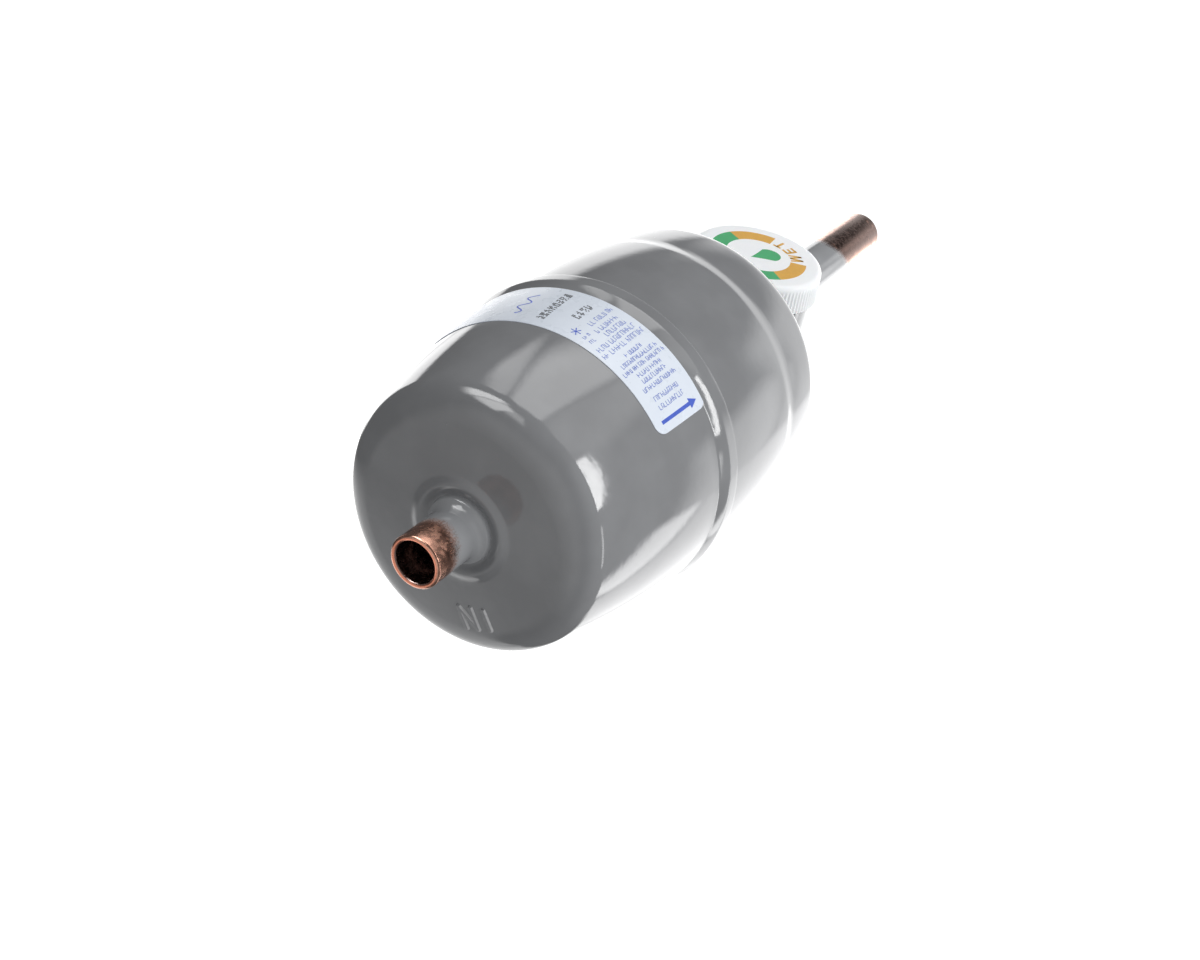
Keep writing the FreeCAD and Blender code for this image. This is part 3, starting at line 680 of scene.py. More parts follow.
STROKE_ENDS = [
    # angle and radius of both ends: first the I, then the three strokes of the N
    ((151.2, 19.1), (149.8, 23.7)),
    ((161.2, 18.8), (157.6, 23.8)), ((170.4, 19.2), (164.8, 24.0)), ((157.6, 23.8), (170.4, 19.2)),
]
strokes = [[round_flow(0.0, radius, angle)[1:] for angle, radius in ends] for ends in STROKE_ENDS]
fine_turn = np.linspace(*LETTER_ZONE, 105)
coarse_turn = np.linspace(LETTER_ZONE[1], LETTER_ZONE[0] + 360, 202)
inlet_grid = about_flow(inlet_outline, np.concatenate([fine_turn[:-1], coarse_turn[:-1]]))


def nearest_stroke(shift):
    """Distance of each of the grid's points from the nearest stroke, with all strokes shifted."""
    places = inlet_grid[..., 1:]
    return np.min([distance_to_stroke(places, start + shift, end + shift) for start, end in strokes], axis=0)


near, beside = nearest_stroke(0.0), nearest_stroke(HIGHLIGHT_SHIFT)
rise = 1 - swept_step(near, LETTER_HALF_WIDTH, LETTER_HALF_WIDTH + LETTER_SHOULDER)
on_face = inlet_grid[..., 0] < inlet_face + SHEET / 2
inlet_grid[..., 0] -= np.where(on_face, rise * LETTER_HEIGHT, 0)


def enamelled(name, grid, node):
    """A closed ring in enamel, standing in for a node."""
    return grid_piece(name, grid, True, "drier", "enamel", material=enamel, replaces=[node])


inlet_skin = enamelled("inlet_shell_skin", inlet_grid, "inlet_shell")
# Painted highlight along the letters' edges that face -Y, stored on the mesh's points.
from_edge = np.abs(near - LETTER_HALF_WIDTH - LETTER_SHOULDER / 2)
painted_highlight = np.where(on_face & (beside < near - HIGHLIGHT_MARGIN), 1 - swept_step(from_edge, *HIGHLIGHT_WIDTH), 0)
highlight_layer = inlet_skin.data.attributes.new("painted_highlight", "FLOAT", "POINT")
highlight_layer.data.foreach_set("value", painted_highlight.ravel().astype(np.float32))

# %% Outlet shell
outlet_face = outlet_high[0] - RING_HEIGHT
OUTLET_CORNER = 6.2
OUTLET_BARREL = 190.0
SHOULDER_RADIUS = 150.0
SHOULDER_END = 35.53
CREASE_X = 99.0
CREASE_LENGTH = 2.2
CREASE_SOFT = 1.6
CREASE_RADIUS = 37.1
SPIGOT_RADIUS = 37.4
SPIGOT_ROUND = 0.2
SEAM_LAND = 0.9
crease_depth = outlet_face - CREASE_X
shoulder_high = np.array([crease_depth - CREASE_LENGTH, 36.5])


def arc_centre(start, end, radius):
    """Centre of the circle through two points, on the axis's side of them."""
    middle = (start + end) / 2
    half = np.linalg.norm(end - start) / 2
    way = (end - start) / (2 * half)
    towards_axis = np.array([way[1], -way[0]])
    towards_axis *= -np.sign(towards_axis[1])
    return middle + towards_axis * math.sqrt(radius ** 2 - half ** 2)


def corner_miss(depth):
    """How far the corner circle misses the crown when the shoulder ends at a depth, and its centre."""
    low = np.array([depth, SHOULDER_END])
    centre = arc_centre(low, shoulder_high, SHOULDER_RADIUS)
    corner = low + (centre - low) * OUTLET_CORNER / SHOULDER_RADIUS
    return np.linalg.norm(corner - crown_centre) - (CROWN_RADIUS - OUTLET_CORNER), centre


shallow, deep = 2.0, 14.0
for halving in range(40):
    middle = (shallow + deep) / 2
    miss, shoulder_centre = corner_miss(middle)
    shallow, deep = (middle, deep) if miss > 0 else (shallow, middle)
print("the shoulder ends at depth %.2f" % middle)

outlet_corner = corner_arc(OUTLET_CORNER, shoulder_centre, SHOULDER_RADIUS, 24)
outlet_crown = crown_outline(np.linspace(RING_ROWS[1], outlet_corner[0, 1], 12)[:-1])
land_depth = outlet_face - seam_x - SEAM_LAND
barrel_low = np.array([crease_depth, CREASE_RADIUS])
barrel_high = np.array([land_depth, SPIGOT_RADIUS])
outlet_centre = arc_centre(barrel_low, barrel_high, OUTLET_BARREL)
step_start = crease_depth - CREASE_LENGTH - CREASE_SOFT
step_end = crease_depth + CREASE_SOFT
depths = chained([outlet_corner[-1, 0], step_start, step_end, land_depth], [8, 26, 18])
before = arc_height(np.minimum(depths, crease_depth), shoulder_centre, SHOULDER_RADIUS)
after = arc_height(np.maximum(depths, crease_depth - CREASE_LENGTH), outlet_centre, OUTLET_BARREL)
step = swept_step(depths, step_start, step_end)
outlet_wall = np.stack([depths, before + (after - before) * step], axis=1)
spigot_depth = outlet_face - outlet_low[0]
spigot_end = np.array([[spigot_depth - SPIGOT_ROUND, SPIGOT_RADIUS]])
spigot_lip = np.array([[spigot_depth, SPIGOT_RADIUS - SPIGOT_ROUND]])
outer = np.concatenate([outlet_crown, outlet_corner, outlet_wall, spigot_end])
outlet_outline = with_wall(outer, spigot_lip, SHEET)
outlet_outline[:, 0] = outlet_face - outlet_outline[:, 0]
enamelled("outlet_shell_skin", about_flow(outlet_outline, all_round(240)), "outlet_shell")


# %% [markdown]
# ## Braze, stubs and tube
# The seam and the tube joints are closed with filler that flowed into a small fillet and was
# painted with the rest.  The tubes are drawn copper with a wider bore at the mouth, where the
# system's pipe goes in, and with lips rounded by a deburring tool.

# %% Turned pieces about the flow axis
def turned(name, corners, material, node, slot="enamel", about=about_flow, closed=True,
           count=128, steps=7, finest=40.0):
    """A piece turned from rounded corners, a ring if it is closed, standing in for a node."""
    outline = rounded(corners, steps=steps, closed=closed)
    if closed:
        outline = resampled(np.concatenate([outline, outline[:1]]), finest)[:-1]
    else:
        outline = resampled(outline, finest)
    return grid_piece(name, about(outline, all_round(count)), closed, "drier", slot,
                      material=material, replaces=[node])


SOCKET_RADIUS, SOCKET_DEPTH = 4.8, 11.0
STOP_RADIUS = 4.2
LIP_ROUND, MOUTH_ROUND = 0.62, 0.55
turned("inlet_stub", [
    (0, tube_radius, LIP_ROUND), (stub_end, tube_radius, 0.2), (stub_end, STOP_RADIUS, 0.1),
    (SOCKET_DEPTH, STOP_RADIUS, 0.3), (SOCKET_DEPTH, SOCKET_RADIUS, 0.15), (0, SOCKET_RADIUS, MOUTH_ROUND),
], stub_copper, "inlet_fitting", slot="copper")
end = tube_high[0]
turned("outlet_pipe", [
    (tube_low[0], STOP_RADIUS, 0.1), (tube_low[0], tube_radius, 0.2), (end, tube_radius, LIP_ROUND),
    (end, SOCKET_RADIUS, MOUTH_ROUND), (end - SOCKET_DEPTH, SOCKET_RADIUS, 0.15),
    (end - SOCKET_DEPTH, STOP_RADIUS, 0.3),
], tube_copper, "outlet_tube", slot="copper")
turned("outlet_neck", [
    (nipple_low[0], STOP_RADIUS, 0.1), (nipple_low[0], tube_radius, 0.2),
    (nipple_high[0], tube_radius, 0.2), (nipple_high[0], STOP_RADIUS, 0.1),
], enamel, "outlet_nipple", slot="copper")

# %% Collars and seam
COLLAR_LENGTH, COLLAR_TAIL = 2.4, 1.6
COLLAR_RADIUS, COLLAR_FLARE = 7.6, 0.3
COLLAR_CREST, COLLAR_CREST_ROUND = 1.15, 0.8
COLLAR_HOLLOW = 3.0
# The collars wear the paler enamel, which is painted light.
for name, node, face, way in (("inlet_bead", "inlet_collar", inlet_face, -1),
                              ("outlet_bead", "outlet_collar", outlet_face, 1)):
    turned(name, [
        (face, hole_radius, 0), (face + way * (COLLAR_LENGTH + COLLAR_TAIL), tube_radius + 0.01, 0),
        (face + way * (COLLAR_LENGTH - 0.1), tube_radius + 0.25, COLLAR_HOLLOW),
        (face + way * COLLAR_CREST, COLLAR_RADIUS, COLLAR_CREST_ROUND),
        (face, COLLAR_RADIUS + COLLAR_FLARE, 0),
    ], enamel_painted_light, node, steps=12)
fillet = np.radians(np.linspace(0, 90, 9))
fillet_high = bell_radius - 0.5 * SHEET
fillet_low = SPIGOT_RADIUS + JOINT_GAP
seam_fillet = np.concatenate([
    np.array([[seam_x, fillet_low]]),
    np.stack([seam_x + SEAM_LAND * (1 - np.cos(fillet)),
              fillet_high - (fillet_high - fillet_low) * np.sin(fillet)], axis=1),
])
enamelled("seam_fillet", about_flow(seam_fillet, all_round(240)), "seam_braze")
print("turned pieces made")

# %% [markdown]
# ## The sight glass
# The drum was turned in one piece and sprayed with the shells.  In its well stands a holder with a
# disc of paper that changes colour with moisture, and a ring holds the glass above it.

# %% Drum
DRUM_TOP_ROUND, DRUM_FOOT_ROUND = 0.6, 4.0
# radius and height of each step
RING_SEAT = (13.9, 14.8)
GLASS_SEAT = (12.2, 10.8)
WELL = (10.4, -6.2)
drum_top, drum_foot = drum_high[2], drum_low[2]
turned("glass_drum", [
    (WELL[1], 0.3, 0), (WELL[1], WELL[0], 0.3), (GLASS_SEAT[1], WELL[0], 0.1),
    (GLASS_SEAT[1], GLASS_SEAT[0], 0.1), (RING_SEAT[1], GLASS_SEAT[0], 0.1),
    (RING_SEAT[1], RING_SEAT[0], 0.1), (drum_top, RING_SEAT[0], 0.15),
    (drum_top, drum_radius, DRUM_TOP_ROUND), (drum_foot, drum_radius, DRUM_FOOT_ROUND),
    (drum_foot, 0.3, 0),
], enamel, "sight_glass_body", "enamel", about_glass, False, count=160, steps=9, finest=3.0)

# %% Braze beside the drum
SADDLE_NEAR = 11.9
SADDLE_FAR = 17.7
SADDLE_HIGH = 7.3
SADDLE_HOLLOW = 1.6
span = np.linspace(0, 1, 24)
saddle_radii = hole_radius + (SADDLE_HIGH - hole_radius) * (1 - span) ** SADDLE_HOLLOW
for name, node, way in (("neck_saddle", "nipple_braze", -1), ("pipe_saddle", "tube_braze", 1)):
    along = glass_x + way * (SADDLE_NEAR + (SADDLE_FAR - SADDLE_NEAR) * span)
    outer = np.stack([along, saddle_radii], axis=1)
    inner = np.array([[along[-1], tube_radius + 0.01], [along[0], tube_radius + 0.01]])
    enamelled(name, about_flow(np.concatenate([outer, inner]), all_round(120)), node)
print("drum made")

# %% Pieces under the cap
UNDER_CAP = [
    # piece, node, slot, finish, whether it is a ring, and its corners as (height, radius, rounding)
    ("glass_ring", "lens_ring", "plated_steel", "steel_plated", True, [
        (14.8, 9.6, 0.1), (14.8, 13.85, 0.1), (17.2, 13.85, 0.6), (17.2, 9.6, 0.6)]),
    ("glass_disc", "sight_glass", "glass", "glass_clear", False, [
        (11.4, 0.2, 0), (11.4, 12.15, 0.2), (14.78, 12.15, 0.2), (14.78, 0.2, 0)]),
    ("glass_seal", "lens_seal", "seal_rubber", "rubber_black", True, [
        (10.82, 10.42, 0.15), (10.82, 12.13, 0.15), (11.4, 12.13, 0.15), (11.4, 10.42, 0.15)]),
    ("paper_disc", "indicator_disc", "indicator_paper", "paper_green", False, [
        (8.0, 0.1, 0), (8.0, 4.8, 0.08), (8.6, 4.8, 0.12), (8.6, 0.1, 0)]),
    ("paper_holder", "indicator_holder", "brass", "brass_turned", False, [
        (-6.2, 0.1, 0), (-6.2, 1.8, 0.1), (7.2, 1.8, 0.2), (7.2, 5.65, 0.3), (9.1, 5.65, 0.2),
        (9.1, 4.85, 0.15), (8.0, 4.85, 0.1), (8.0, 0.1, 0)]),
]
for name, node, slot, look, ring, corners in UNDER_CAP:
    turned(name, corners, finish[look], node, slot, about_glass, ring, count=96, steps=6, finest=4.0)
print("sight glass ready")

# %% [markdown]
# ## The cap
# A soft white cap is pushed over the glass and lifted off to look in.  It is a thin moulded shell
# with a draught, a soft top edge and fine flutes: grooves cut into the outline's radius, one
# cosine per flute, that run out below the top edge.

# %% Cap
CAP_SKIRT_INSIDE = 16.7
CAP_CEILING = 18.9
CAP_TOP_RADIUS = 17.0
CAP_EDGE = 1.5
FLUTES = 96
FLUTE_COLUMNS = 8
FLUTE_DEPTH = 0.26
FLUTE_END = 18.5
FLUTE_FADE = 0.8
FLUTE_SHARPNESS = 1.6
INK_ROOM = 0.03
cap_foot, cap_top = cap_low[2], cap_high[2] - INK_ROOM
cap_radius = (cap_high[0] - cap_low[0]) / 2
cap_outline = rounded([
    (cap_top, 0.3, 0), (cap_top, CAP_TOP_RADIUS, CAP_EDGE), (cap_foot, cap_radius, 0.12),
    (cap_foot, CAP_SKIRT_INSIDE, 0.2), (CAP_CEILING, CAP_SKIRT_INSIDE, 0.4), (CAP_CEILING, 0.3, 0),
], steps=9)
cap_outline = resampled(cap_outline, 0.7)
turns = all_round(FLUTES * FLUTE_COLUMNS)
cap_grid = about_glass(cap_outline, turns)
heights, radii = cap_outline[:, 0], cap_outline[:, 1]
outside = radii > CAP_SKIRT_INSIDE + 0.25
depth = np.where(outside, FLUTE_DEPTH, 0) * np.clip((FLUTE_END - heights) / FLUTE_FADE, 0, 1)
groove = np.abs(np.cos(np.radians(turns) * FLUTES / 2)) ** FLUTE_SHARPNESS
share = 1 - depth[:, None] * groove[None, :] / radii[:, None]
cap_grid[..., 0] = glass_x + (cap_grid[..., 0] - glass_x) * share
cap_grid[..., 1] *= share
grid_piece("cap_skin", cap_grid, False, "cap", "cap_plastic", material=finish["cap_plastic_white"],
           replaces=["protective_cap"])

# %% [markdown]
# ## Thin printed and glued things
# The label and every printed mark are thin closed sheets: one grid of points for the top, the
# same grid sunk a little for the underside, and a strip round the edge.

# %% Sheets
def sheet(top, under):
    """Points and cells of a closed sheet between two (rows, columns, 3) grids."""
    rows, columns = top.shape[:2]
    down, right = np.meshgrid(np.arange(rows - 1), np.arange(columns - 1), indexing="ij")
    first = (down * columns + right).reshape(-1)
    cells = np.stack([first, first + 1, first + columns + 1, first + columns], axis=1)
    numbers = np.arange(rows * columns).reshape(rows, columns)
    rim = np.concatenate([numbers[0, :-1], numbers[:-1, -1], numbers[-1, :0:-1], numbers[:0:-1, 0]])
    after = np.roll(rim, -1)
    below = rows * columns
    side = np.stack([after, rim, rim + below, after + below], axis=1)
    points = np.concatenate([top.reshape(-1, 3), under.reshape(-1, 3)])
    return points, np.concatenate([cells, cells[:, ::-1] + below, side])


def joined(name, sheets, body, slot, **rest):
    """One mesh from several sheets, each turned outwards."""
    points, cells, count = [], [], 0
    empty = np.zeros((0, 3), int)
    for some, faces in sheets:
        if volume_of(some - some.mean(axis=0), faces, empty) < 0:
            faces = faces[:, ::-1]
        points.append(some)
        cells.append(faces + count)
        count += len(some)
    return piece(name, np.concatenate(points), np.concatenate(cells), empty, body, slot, smooth=False, **rest)


def barrel_radius(x):
    """Radius of the inlet shell's barrel at a place along the flow axis."""
    return arc_height(x - inlet_face, barrel_centre, BARREL_RADIUS)


def on_barrel(x, angle, lift):
    """Points over the barrel, from places along it and angles round it, in degrees."""
    return round_flow(x, barrel_radius(x) + lift, angle)


print("sheet helpers ready")

# %% Label
LABEL_ANGLES = (-59.5, 48.5)
LABEL_CORNER = 2.6
LABEL_LIFT = 0.02
LABEL_THICKNESS = 0.12
LABEL_COLUMNS = 97
label_middle = sum(LABEL_ANGLES) / 2
label_half = (LABEL_ANGLES[1] - LABEL_ANGLES[0]) / 2
corner_rows = LABEL_CORNER * (1 - np.cos(np.radians(np.linspace(0, 90, 9))))
middle_rows = np.linspace(label_low[0] + LABEL_CORNER, label_high[0] - LABEL_CORNER, 9)[1:-1]
label_x = np.concatenate([label_low[0] + corner_rows, middle_rows, label_high[0] - corner_rows[::-1]])
to_end = np.minimum(label_x - label_low[0], label_high[0] - label_x)
inset = LABEL_CORNER - np.sqrt(LABEL_CORNER ** 2 - np.clip(LABEL_CORNER - to_end, 0, None) ** 2)
reach = label_half - np.degrees(inset / barrel_radius(label_x))
label_turn = label_middle + reach[:, None] * np.linspace(-1, 1, LABEL_COLUMNS)[None, :]
label_along = np.repeat(label_x[:, None], LABEL_COLUMNS, axis=1)
label_sheet = sheet(on_barrel(label_along, label_turn, LABEL_LIFT + LABEL_THICKNESS),
                    on_barrel(label_along, label_turn, LABEL_LIFT))
joined("label_film", [label_sheet], "drier", "label_film", material=finish["label_film_white"],
       replaces=["label"])

# %% [markdown]
# ## Print on the label
# The small print is only suggested: rows of short strokes that stand where lines of text stand,
# but spell nothing.  A stroke is a ribbon through points given as (along the flow axis, round the
# barrel), and the barrel gives it its height.

# %% Ribbons
def ribbon(points, width):
    """Both edges of a stroke through 2-D points, as a (2, count, 2) array."""
    points = np.array(points, float)
    way = np.gradient(points, axis=0)
    way /= np.linalg.norm(way, axis=1)[:, None]
    aside = np.stack([-way[:, 1], way[:, 0]], axis=1) * np.reshape(width, (-1, 1)) / 2
    return np.stack([points - aside, points + aside])


MID_RADIUS = float(barrel_radius(54.0))
INK_LIFT = (LABEL_LIFT + LABEL_THICKNESS - 0.02, LABEL_LIFT + LABEL_THICKNESS + 0.02)


def on_label(edges):
    """A printed stroke on the label, from its two edges."""
    angle = np.degrees(edges[..., 1] / MID_RADIUS)
    return sheet(on_barrel(edges[..., 0], angle, INK_LIFT[1]), on_barrel(edges[..., 0], angle, INK_LIFT[0]))


def at_angle(angle):
    """Distance round the barrel for an angle in degrees."""
    return math.radians(angle) * MID_RADIUS


PEN = 0.155
WORD_GAP, LETTER_GAP = 0.85, 0.30
chance = np.random.default_rng(7)


def glyph(x, middle, wide, high):
    """Two or three strokes that look like a character from afar; they are no letter."""
    top, foot = middle - high / 2, middle + high / 2
    level = chance.choice([top, middle, foot])
    strokes = [[(x, top), (x, foot)], [(x, level), (x + wide, level)]]
    if chance.random() < 0.55:
        strokes.append([(x + wide, middle if chance.random() < 0.5 else top), (x + wide, foot)])
    return strokes


def text_row(start, end, angle, high):
    """A row of glyphs with word gaps, from one place along the barrel to another."""
    x, sheets = start, []
    while x < end - 0.5 * high:
        wide = high * chance.uniform(0.38, 0.62)
        sheets += [on_label(ribbon(stroke, PEN)) for stroke in glyph(x, at_angle(angle), wide, high)]
        x += wide + high * (WORD_GAP if chance.random() < 0.14 else LETTER_GAP)
    return sheets


ROWS = [
    # start and end along the barrel, angle round it, height of the characters
    (52.0, 60.9, 3.1, 1.20), (51.1, 59.5, 6.7, 1.20), (52.0, 60.0, 9.7, 1.20), (46.3, 60.6, 12.7, 1.20),
    (45.8, 61.4, 15.7, 1.20), (50.6, 57.1, 19.6, 0.98), (47.3, 60.4, 22.2, 0.98), (46.0, 61.2, 24.8, 0.98),
    (49.1, 58.5, 27.5, 0.98), (49.1, 58.0, 30.0, 0.98), (47.6, 60.0, 32.8, 0.98), (48.8, 57.9, 37.0, 1.05),
    (48.7, 58.3, 40.2, 1.05), (47.1, 49.3, 5.8, 0.8), (47.1, 49.3, 8.6, 0.8),
]


def printed(name, ribbons, ink):
    """Many strokes on the label, joined into one piece of print."""
    joined(name, ribbons, "drier", "label_film", material=finish[ink])


printed("label_print_text", [stroke for row in ROWS for stroke in text_row(*row)], "ink_blue_text")

# %% Marks on the label
ARROW_ANGLE, ARROW_SHAFT, ARROW_HEAD = 44.8, 0.85, 2.4
STAR, STAR_ARM, STAR_PEN = np.array([47.9, at_angle(1.9)]), 1.25, 0.24
WAVE_ANGLE, WAVE_START, WAVE_END, WAVE_HEIGHT, WAVE_TURN, WAVE_PEN = -23, 48.3, 57.7, 1.1, 1.45, 0.34
arrow_place = at_angle(ARROW_ANGLE)
arrow = [
    ribbon(resampled(np.array([(47.2, arrow_place), (58.2, arrow_place)]), 0.8), ARROW_SHAFT),
    ribbon([(x, arrow_place) for x in (57.7, 59.0, 60.3)], [ARROW_HEAD, 1.25, 0.05]),
]
star = [ribbon([STAR - way, STAR + way], STAR_PEN) for way in STAR_ARM * circle(np.radians([30, 90, 150]))]
wave_x = np.linspace(WAVE_START, WAVE_END, 60)
wave_y = at_angle(WAVE_ANGLE) + WAVE_HEIGHT * np.sin((wave_x - WAVE_START) * WAVE_TURN)
wave = ribbon(np.stack([wave_x, wave_y], axis=1), WAVE_PEN)
printed("label_print_marks", [on_label(mark) for mark in arrow + star + [wave]], "ink_blue")

# %% Dotted code
DOT = 0.30
DOT_PITCH = 0.42
DOT_SHARE = 0.62
CHARACTER_PITCH = 1.62
code_dots = []
for start, angle, count in ((47.5, -12.2, 8), (52.2, -2.6, 4)):
    for letter in range(count):
        filled = chance.random((5, 3)) < DOT_SHARE
        for row, column in zip(*np.nonzero(filled)):
            x = start + letter * CHARACTER_PITCH + column * DOT_PITCH
            place = at_angle(angle) + (row - 2) * DOT_PITCH
            code_dots.append(on_label(ribbon([(x - DOT / 2, place), (x + DOT / 2, place)], DOT * 1.15)))
printed("label_print_code", code_dots, "ink_black")

# %% [markdown]
# ## Print on the cap
# The cap's top carries the key to the indicator: a ring in green for dry and amber for wet, with
# the word WET in the ring's gap.  The print fills a room of 0.03 mm left free by the cap's top.

# %% Cap print
RING_INNER, RING_OUTER = 8.5, 12.7
WORD_RADIUS, WORD_HEIGHT = 12.1, 3.4
ink_heights = (cap_top + INK_ROOM * 0.7, cap_top - 0.02)


def on_cap(places):
    """A printed sheet on the cap's top, from a (rows, columns, 2) grid of places about its axis."""
    layers = [
        np.concatenate([places + np.array([glass_x, 0.0]), np.full(places.shape[:2] + (1,), height)], axis=-1)
        for height in ink_heights
    ]
    return sheet(*layers)


def ring_part(start, end):
    """A part of the ring between two angles in degrees."""
    turn = np.radians(np.linspace(start, end, max(2, int((end - start) / 2))))
    return on_cap(np.stack([circle(turn) * RING_INNER, circle(turn) * RING_OUTER]))


def letter_stroke(centre, start, end, width=0.72):
    """A stroke of a letter whose top points at the axis; its ends are (degrees, height)."""
    degrees, height = np.array([start, end], float).T
    turn = np.radians(centre + degrees)
    radius = WORD_RADIUS - WORD_HEIGHT * height
    return on_cap(ribbon(radius[:, None] * circle(turn), width))


WORD = {
    # the strokes of each letter, under its place in degrees
    -49.5: [((-9.5, 1), (-5, 0)), ((-5, 0), (0, 1)), ((0, 1), (5, 0)), ((5, 0), (9.5, 1))],
    -25: [((-6, 0), (-8, 1)), ((-7.5, 0.93), (5.5, 0.93)), ((-6.5, 0.5), (3.5, 0.5)),
          ((-6, 0.07), (4.5, 0.07))],
    -7.5: [((0, 0), (0, 1)), ((-7.5, 0.93), (7.5, 0.93))],
}
amber = [ring_part(5.5, 64), ring_part(234, 295)]
amber += [letter_stroke(centre, *ends) for centre, letter in WORD.items() for ends in letter]
joined("cap_print_amber", amber, "cap", "cap_plastic", material=finish["ink_amber"])

# %% Droplet
DROP_PLACE = np.array([1.2, -1.3])
DROP_LENGTH, DROP_HALF = 9.0, 3.1
DROP_WIDEST = 0.64
DROP_TURN = math.radians(150)
share = (1 - np.cos(np.linspace(0, math.pi, 40))) / 2
belly = np.sqrt(np.clip(1 - ((share - DROP_WIDEST) / (1 - DROP_WIDEST)) ** 2, 0, 1))
half = DROP_HALF * np.where(share > DROP_WIDEST, belly, (share / DROP_WIDEST) ** 1.15)
spine = DROP_PLACE + (0.5 - share)[:, None] * DROP_LENGTH * circle(DROP_TURN)
drop = on_cap(ribbon(spine, 2 * np.maximum(half, 0.02)))
joined("cap_print_green", [ring_part(64, 234), drop], "cap", "cap_plastic", material=finish["ink_green"])

# %% [markdown]
# ## Finishes of the pieces inside
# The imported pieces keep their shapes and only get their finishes, so that a cut through the model
# shows the right materials.

# %% Inner finishes
NODE_FINISHES = {
    "enamel_grey": ("inlet_shell", "outlet_shell", "seam_braze", "inlet_collar", "outlet_nipple",
                    "outlet_collar", "sight_glass_body", "nipple_braze", "tube_braze"),
    "copper_stub": ("inlet_fitting",), "copper_tube": ("outlet_tube",), "glass_clear": ("sight_glass",),
    "steel_plated": ("lens_ring", "spring_holder", "outlet_plate"), "rubber_black": ("lens_seal",),
    "brass_turned": ("indicator_holder",), "paper_green": ("indicator_disc",),
    "cap_plastic_white": ("protective_cap",), "label_film_white": ("label",),
    "spring_steel_wire": ("core_spring",), "desiccant_block": ("desiccant_core",),
    "felt_grey": ("core_gasket",), "fibre_pad": ("filter_pad",), "mesh_steel": ("outlet_screen",),
}
for name, nodes in NODE_FINISHES.items():
    for node in nodes:
        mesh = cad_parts[node].data
        mesh.materials.clear()
        mesh.materials.append(finish[name])
print("finishes on", sum(len(nodes) for nodes in NODE_FINISHES.values()), "packed nodes")

# %% [markdown]
# ## Camera
# The camera was solved from the photo's own edges and stays frozen.  The two directions below are
# where it looks and which way is up in its picture.

# %% Camera
EYE = Vector((-252.74, -144.37, 221.70)) * MM
FORWARD = Vector((0.76569, 0.33028, -0.55193)).normalized()
UP = Vector((0.39813, 0.43060, 0.80999))
side = FORWARD.cross(UP).normalized()
turned_to = Matrix((side, side.cross(FORWARD), -FORWARD)).transposed().to_4x4()
lens = bpy.data.cameras.new("photo_camera")
lens.lens = 54.0
lens.sensor_width = 36.0
lens.clip_start = 0.01
lens.clip_end = 50.0
camera = placed("photo_camera", lens)
camera.matrix_world = Matrix.Translation(EYE) @ turned_to
bpy.context.scene.camera = camera
print("camera at", [round(value, 3) for value in EYE])

# %% [markdown]
# ## Light
# The enamel is a dark mirror, so what it shows matters more than what lights it.  Every bright
# shape in the photo's enamel was traced back to the direction that it came from, and the room that
# mirrors see is painted with those shapes.  Matt surfaces see a smooth room, brighter from behind,
# from the right and above.

# %% Room
SOFT_ROOM = (0.60, (0.19, -0.22, 0.12))
ROOM_BASE = 0.12
ROOM_SHAPES = [
    # azimuth, elevation, width, height, soft edge, radiance, lean
    (-172, 60, 30, 28, 12, 9.0, 0),
    (-138, 62, 34, 28, 8, 7.0, 0),
    (-108, 70, 40, 18, 14, 3.0, 0),
    (98, 61, 56, 26, 12, 3.6, 0),
    (25.5, 27, 4.5, 32, 1.5, 14.0, 0.24),
    (20, -12, 6, 26, 4, 4.6, 0),
    (44, -32, 12, 24, 6, 5.0, 0),
    (54, -16, 22, 40, 14, 2.4, 0),
    (68, -36, 40, 36, 10, 2.8, 0),
    (86, -4, 50, 44, 12, 1.9, 0),
    (20, 0, 80, 120, 50, 0.5, 0),
    (-88, -6, 80, 78, 40, 0.9, 0),
    (110, -22, 50, 64, 8, 2.3, 0),
    (141, -16, 15, 24, 5, 2.6, 0),
    (135, 49, 13, 20, 7, 2.8, 0),
    (50, 52, 40, 30, 14, 1.4, 0),
    (170, -62, 150, 52, 14, 1.55, 0),
]
world = bpy.data.worlds.new("white_room")
world.use_nodes = True
bpy.context.scene.world = world
tree = world.node_tree
background = tree.nodes["Background"]
path = add(tree, "LightPath").outputs
direction = add(tree, "TexCoord").outputs["Generated"]
parts = axes_of(tree, direction)
azimuth = calculate(tree, "ARCTAN2", parts["X"], product(tree, parts["Y"], -1.0))
elevation = calculate(tree, "ARCSINE", parts["Z"])


def edge(value, width, soft):
    """1 near zero, falling smoothly to 0 at half a width away; width and soft edge in degrees."""
    away = calculate(tree, "ABSOLUTE", value)
    return ramp(tree, away, math.radians((width + soft) / 2), math.radians((width - soft) / 2))


glow = ROOM_BASE
for place, height, wide, high, soft, radiance, lean in ROOM_SHAPES:
    above = calculate(tree, "SUBTRACT", elevation, math.radians(height))
    aside = calculate(tree, "SUBTRACT", azimuth, math.radians(place))
    aside = calculate(tree, "MULTIPLY_ADD", above, -lean, aside)
    aside = calculate(tree, "WRAP", aside, math.pi, -math.pi)
    shape = product(tree, edge(aside, wide, soft), edge(above, high, soft))
    glow = calculate(tree, "MAXIMUM", glow, product(tree, shape, radiance))
level = calculate(tree, "ADD", towards(tree, direction, SOFT_ROOM[1]), SOFT_ROOM[0])
lit = blend(tree, path["Is Glossy Ray"], grey(tree, level), grey(tree, glow))
direct = calculate(tree, "MAXIMUM", path["Is Camera Ray"], path["Is Transmission Ray"])
tree.links.new(blend(tree, direct, lit, color(1.0, 1.0, 1.0)), background.inputs["Color"])
background.inputs["Strength"].default_value = 1.0
print("shapes in the room:", len(ROOM_SHAPES))

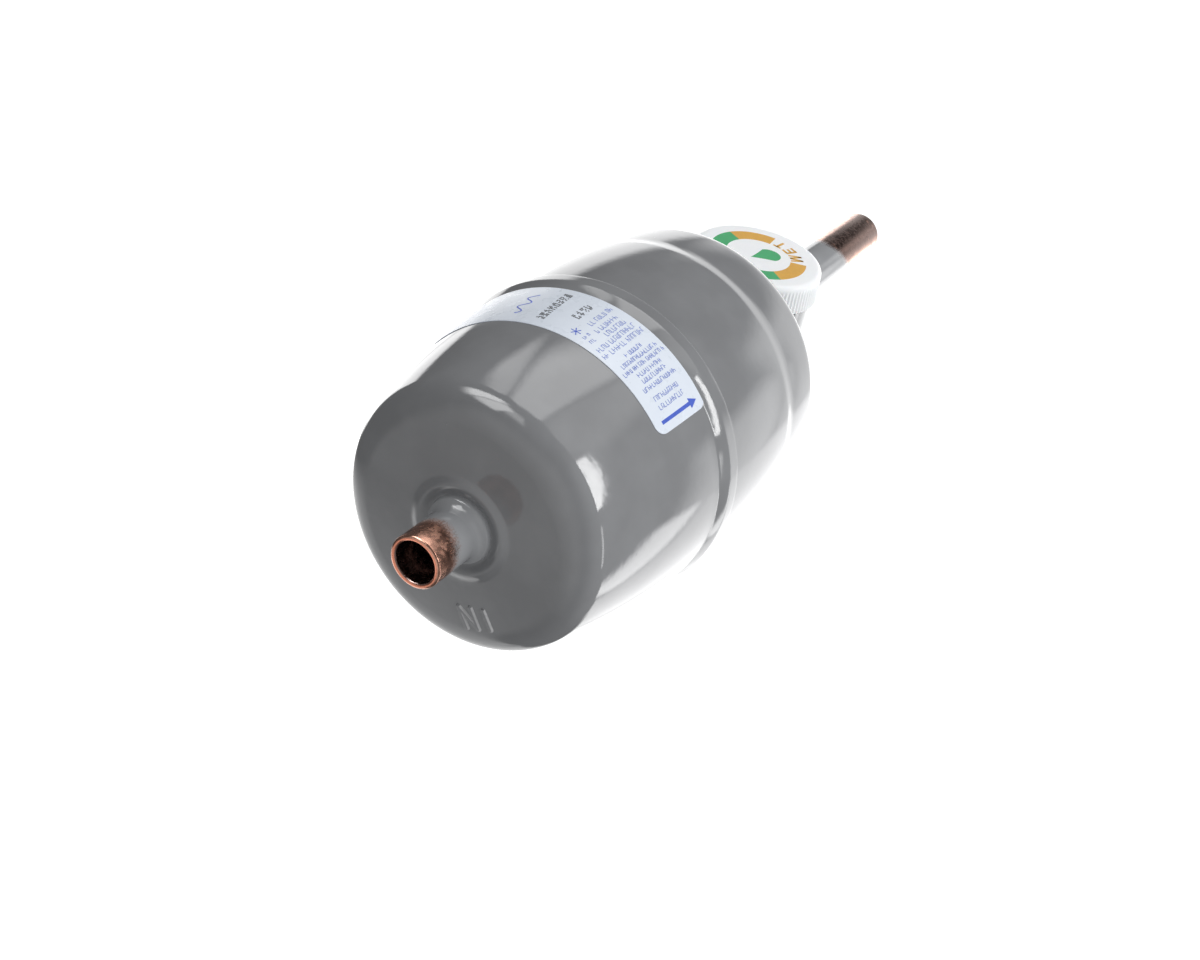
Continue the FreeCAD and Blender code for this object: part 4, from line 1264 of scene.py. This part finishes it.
# %% Key lamp
KEY_AZIMUTH, KEY_ELEVATION = 5.0, 42.0
KEY_DISTANCE = 1.5
KEY_SIZE = 0.9
KEY_RADIANCE = 3.0
MIDDLE = Vector((0.113, 0.0, 0.0))
turn, rise = math.radians(KEY_AZIMUTH), math.radians(KEY_ELEVATION)
key_way = Vector((math.sin(turn) * math.cos(rise), -math.cos(turn) * math.cos(rise), math.sin(rise)))
key = bpy.data.lights.new("key_soft", "AREA")
key.size = KEY_SIZE
key.energy = KEY_RADIANCE * math.pi * KEY_SIZE ** 2
lamp = placed("key_soft", key)
lamp.location = MIDDLE + key_way * KEY_DISTANCE
lamp.rotation_mode = "QUATERNION"
lamp.rotation_quaternion = (-key_way).to_track_quat("-Z", "Y")
lamp.visible_camera = False
lamp.visible_glossy = False
print("key lamp of %.1f W" % key.energy)

# %% Floor
FLOOR_HALF, FLOOR_HEIGHT = 3.0, -0.25
FLOOR_GLOW = 0.5
corners = [(x * FLOOR_HALF, y * FLOOR_HALF, FLOOR_HEIGHT) for x, y in ((-1, -1), (1, -1), (1, 1), (-1, 1))]
floor_mesh = bpy.data.meshes.new("floor")
floor_mesh.from_pydata(corners, [], [(0, 1, 2, 3)])
floor = placed("floor", floor_mesh)
floor.visible_diffuse = False
floor.visible_glossy = False
floor_material, tree, shader = recipe("floor_white")
mottle = ramp(tree, noise(tree, here(tree), 60.0), *NOISE_BAND, 0.80, 0.84)
tree.links.new(grey(tree, mottle), shader.inputs["Base Color"])
shader.inputs["Roughness"].default_value = 0.9
seen = add(tree, "LightPath").outputs["Is Camera Ray"]
glow = add(tree, "Emission", Color=color(1.0, 1.0, 1.0), Strength=product(tree, seen, FLOOR_GLOW))
both = add(tree, "AddShader", i0=shader.outputs[0], i1=glow.outputs[0]).outputs[0]
tree.links.new(both, tree.nodes["Material Output"].inputs["Surface"])
floor_mesh.materials.append(floor_material)
bpy.context.scene.view_settings.view_transform = "Standard"
print("floor ready")

# %% Finish
print("scene built")
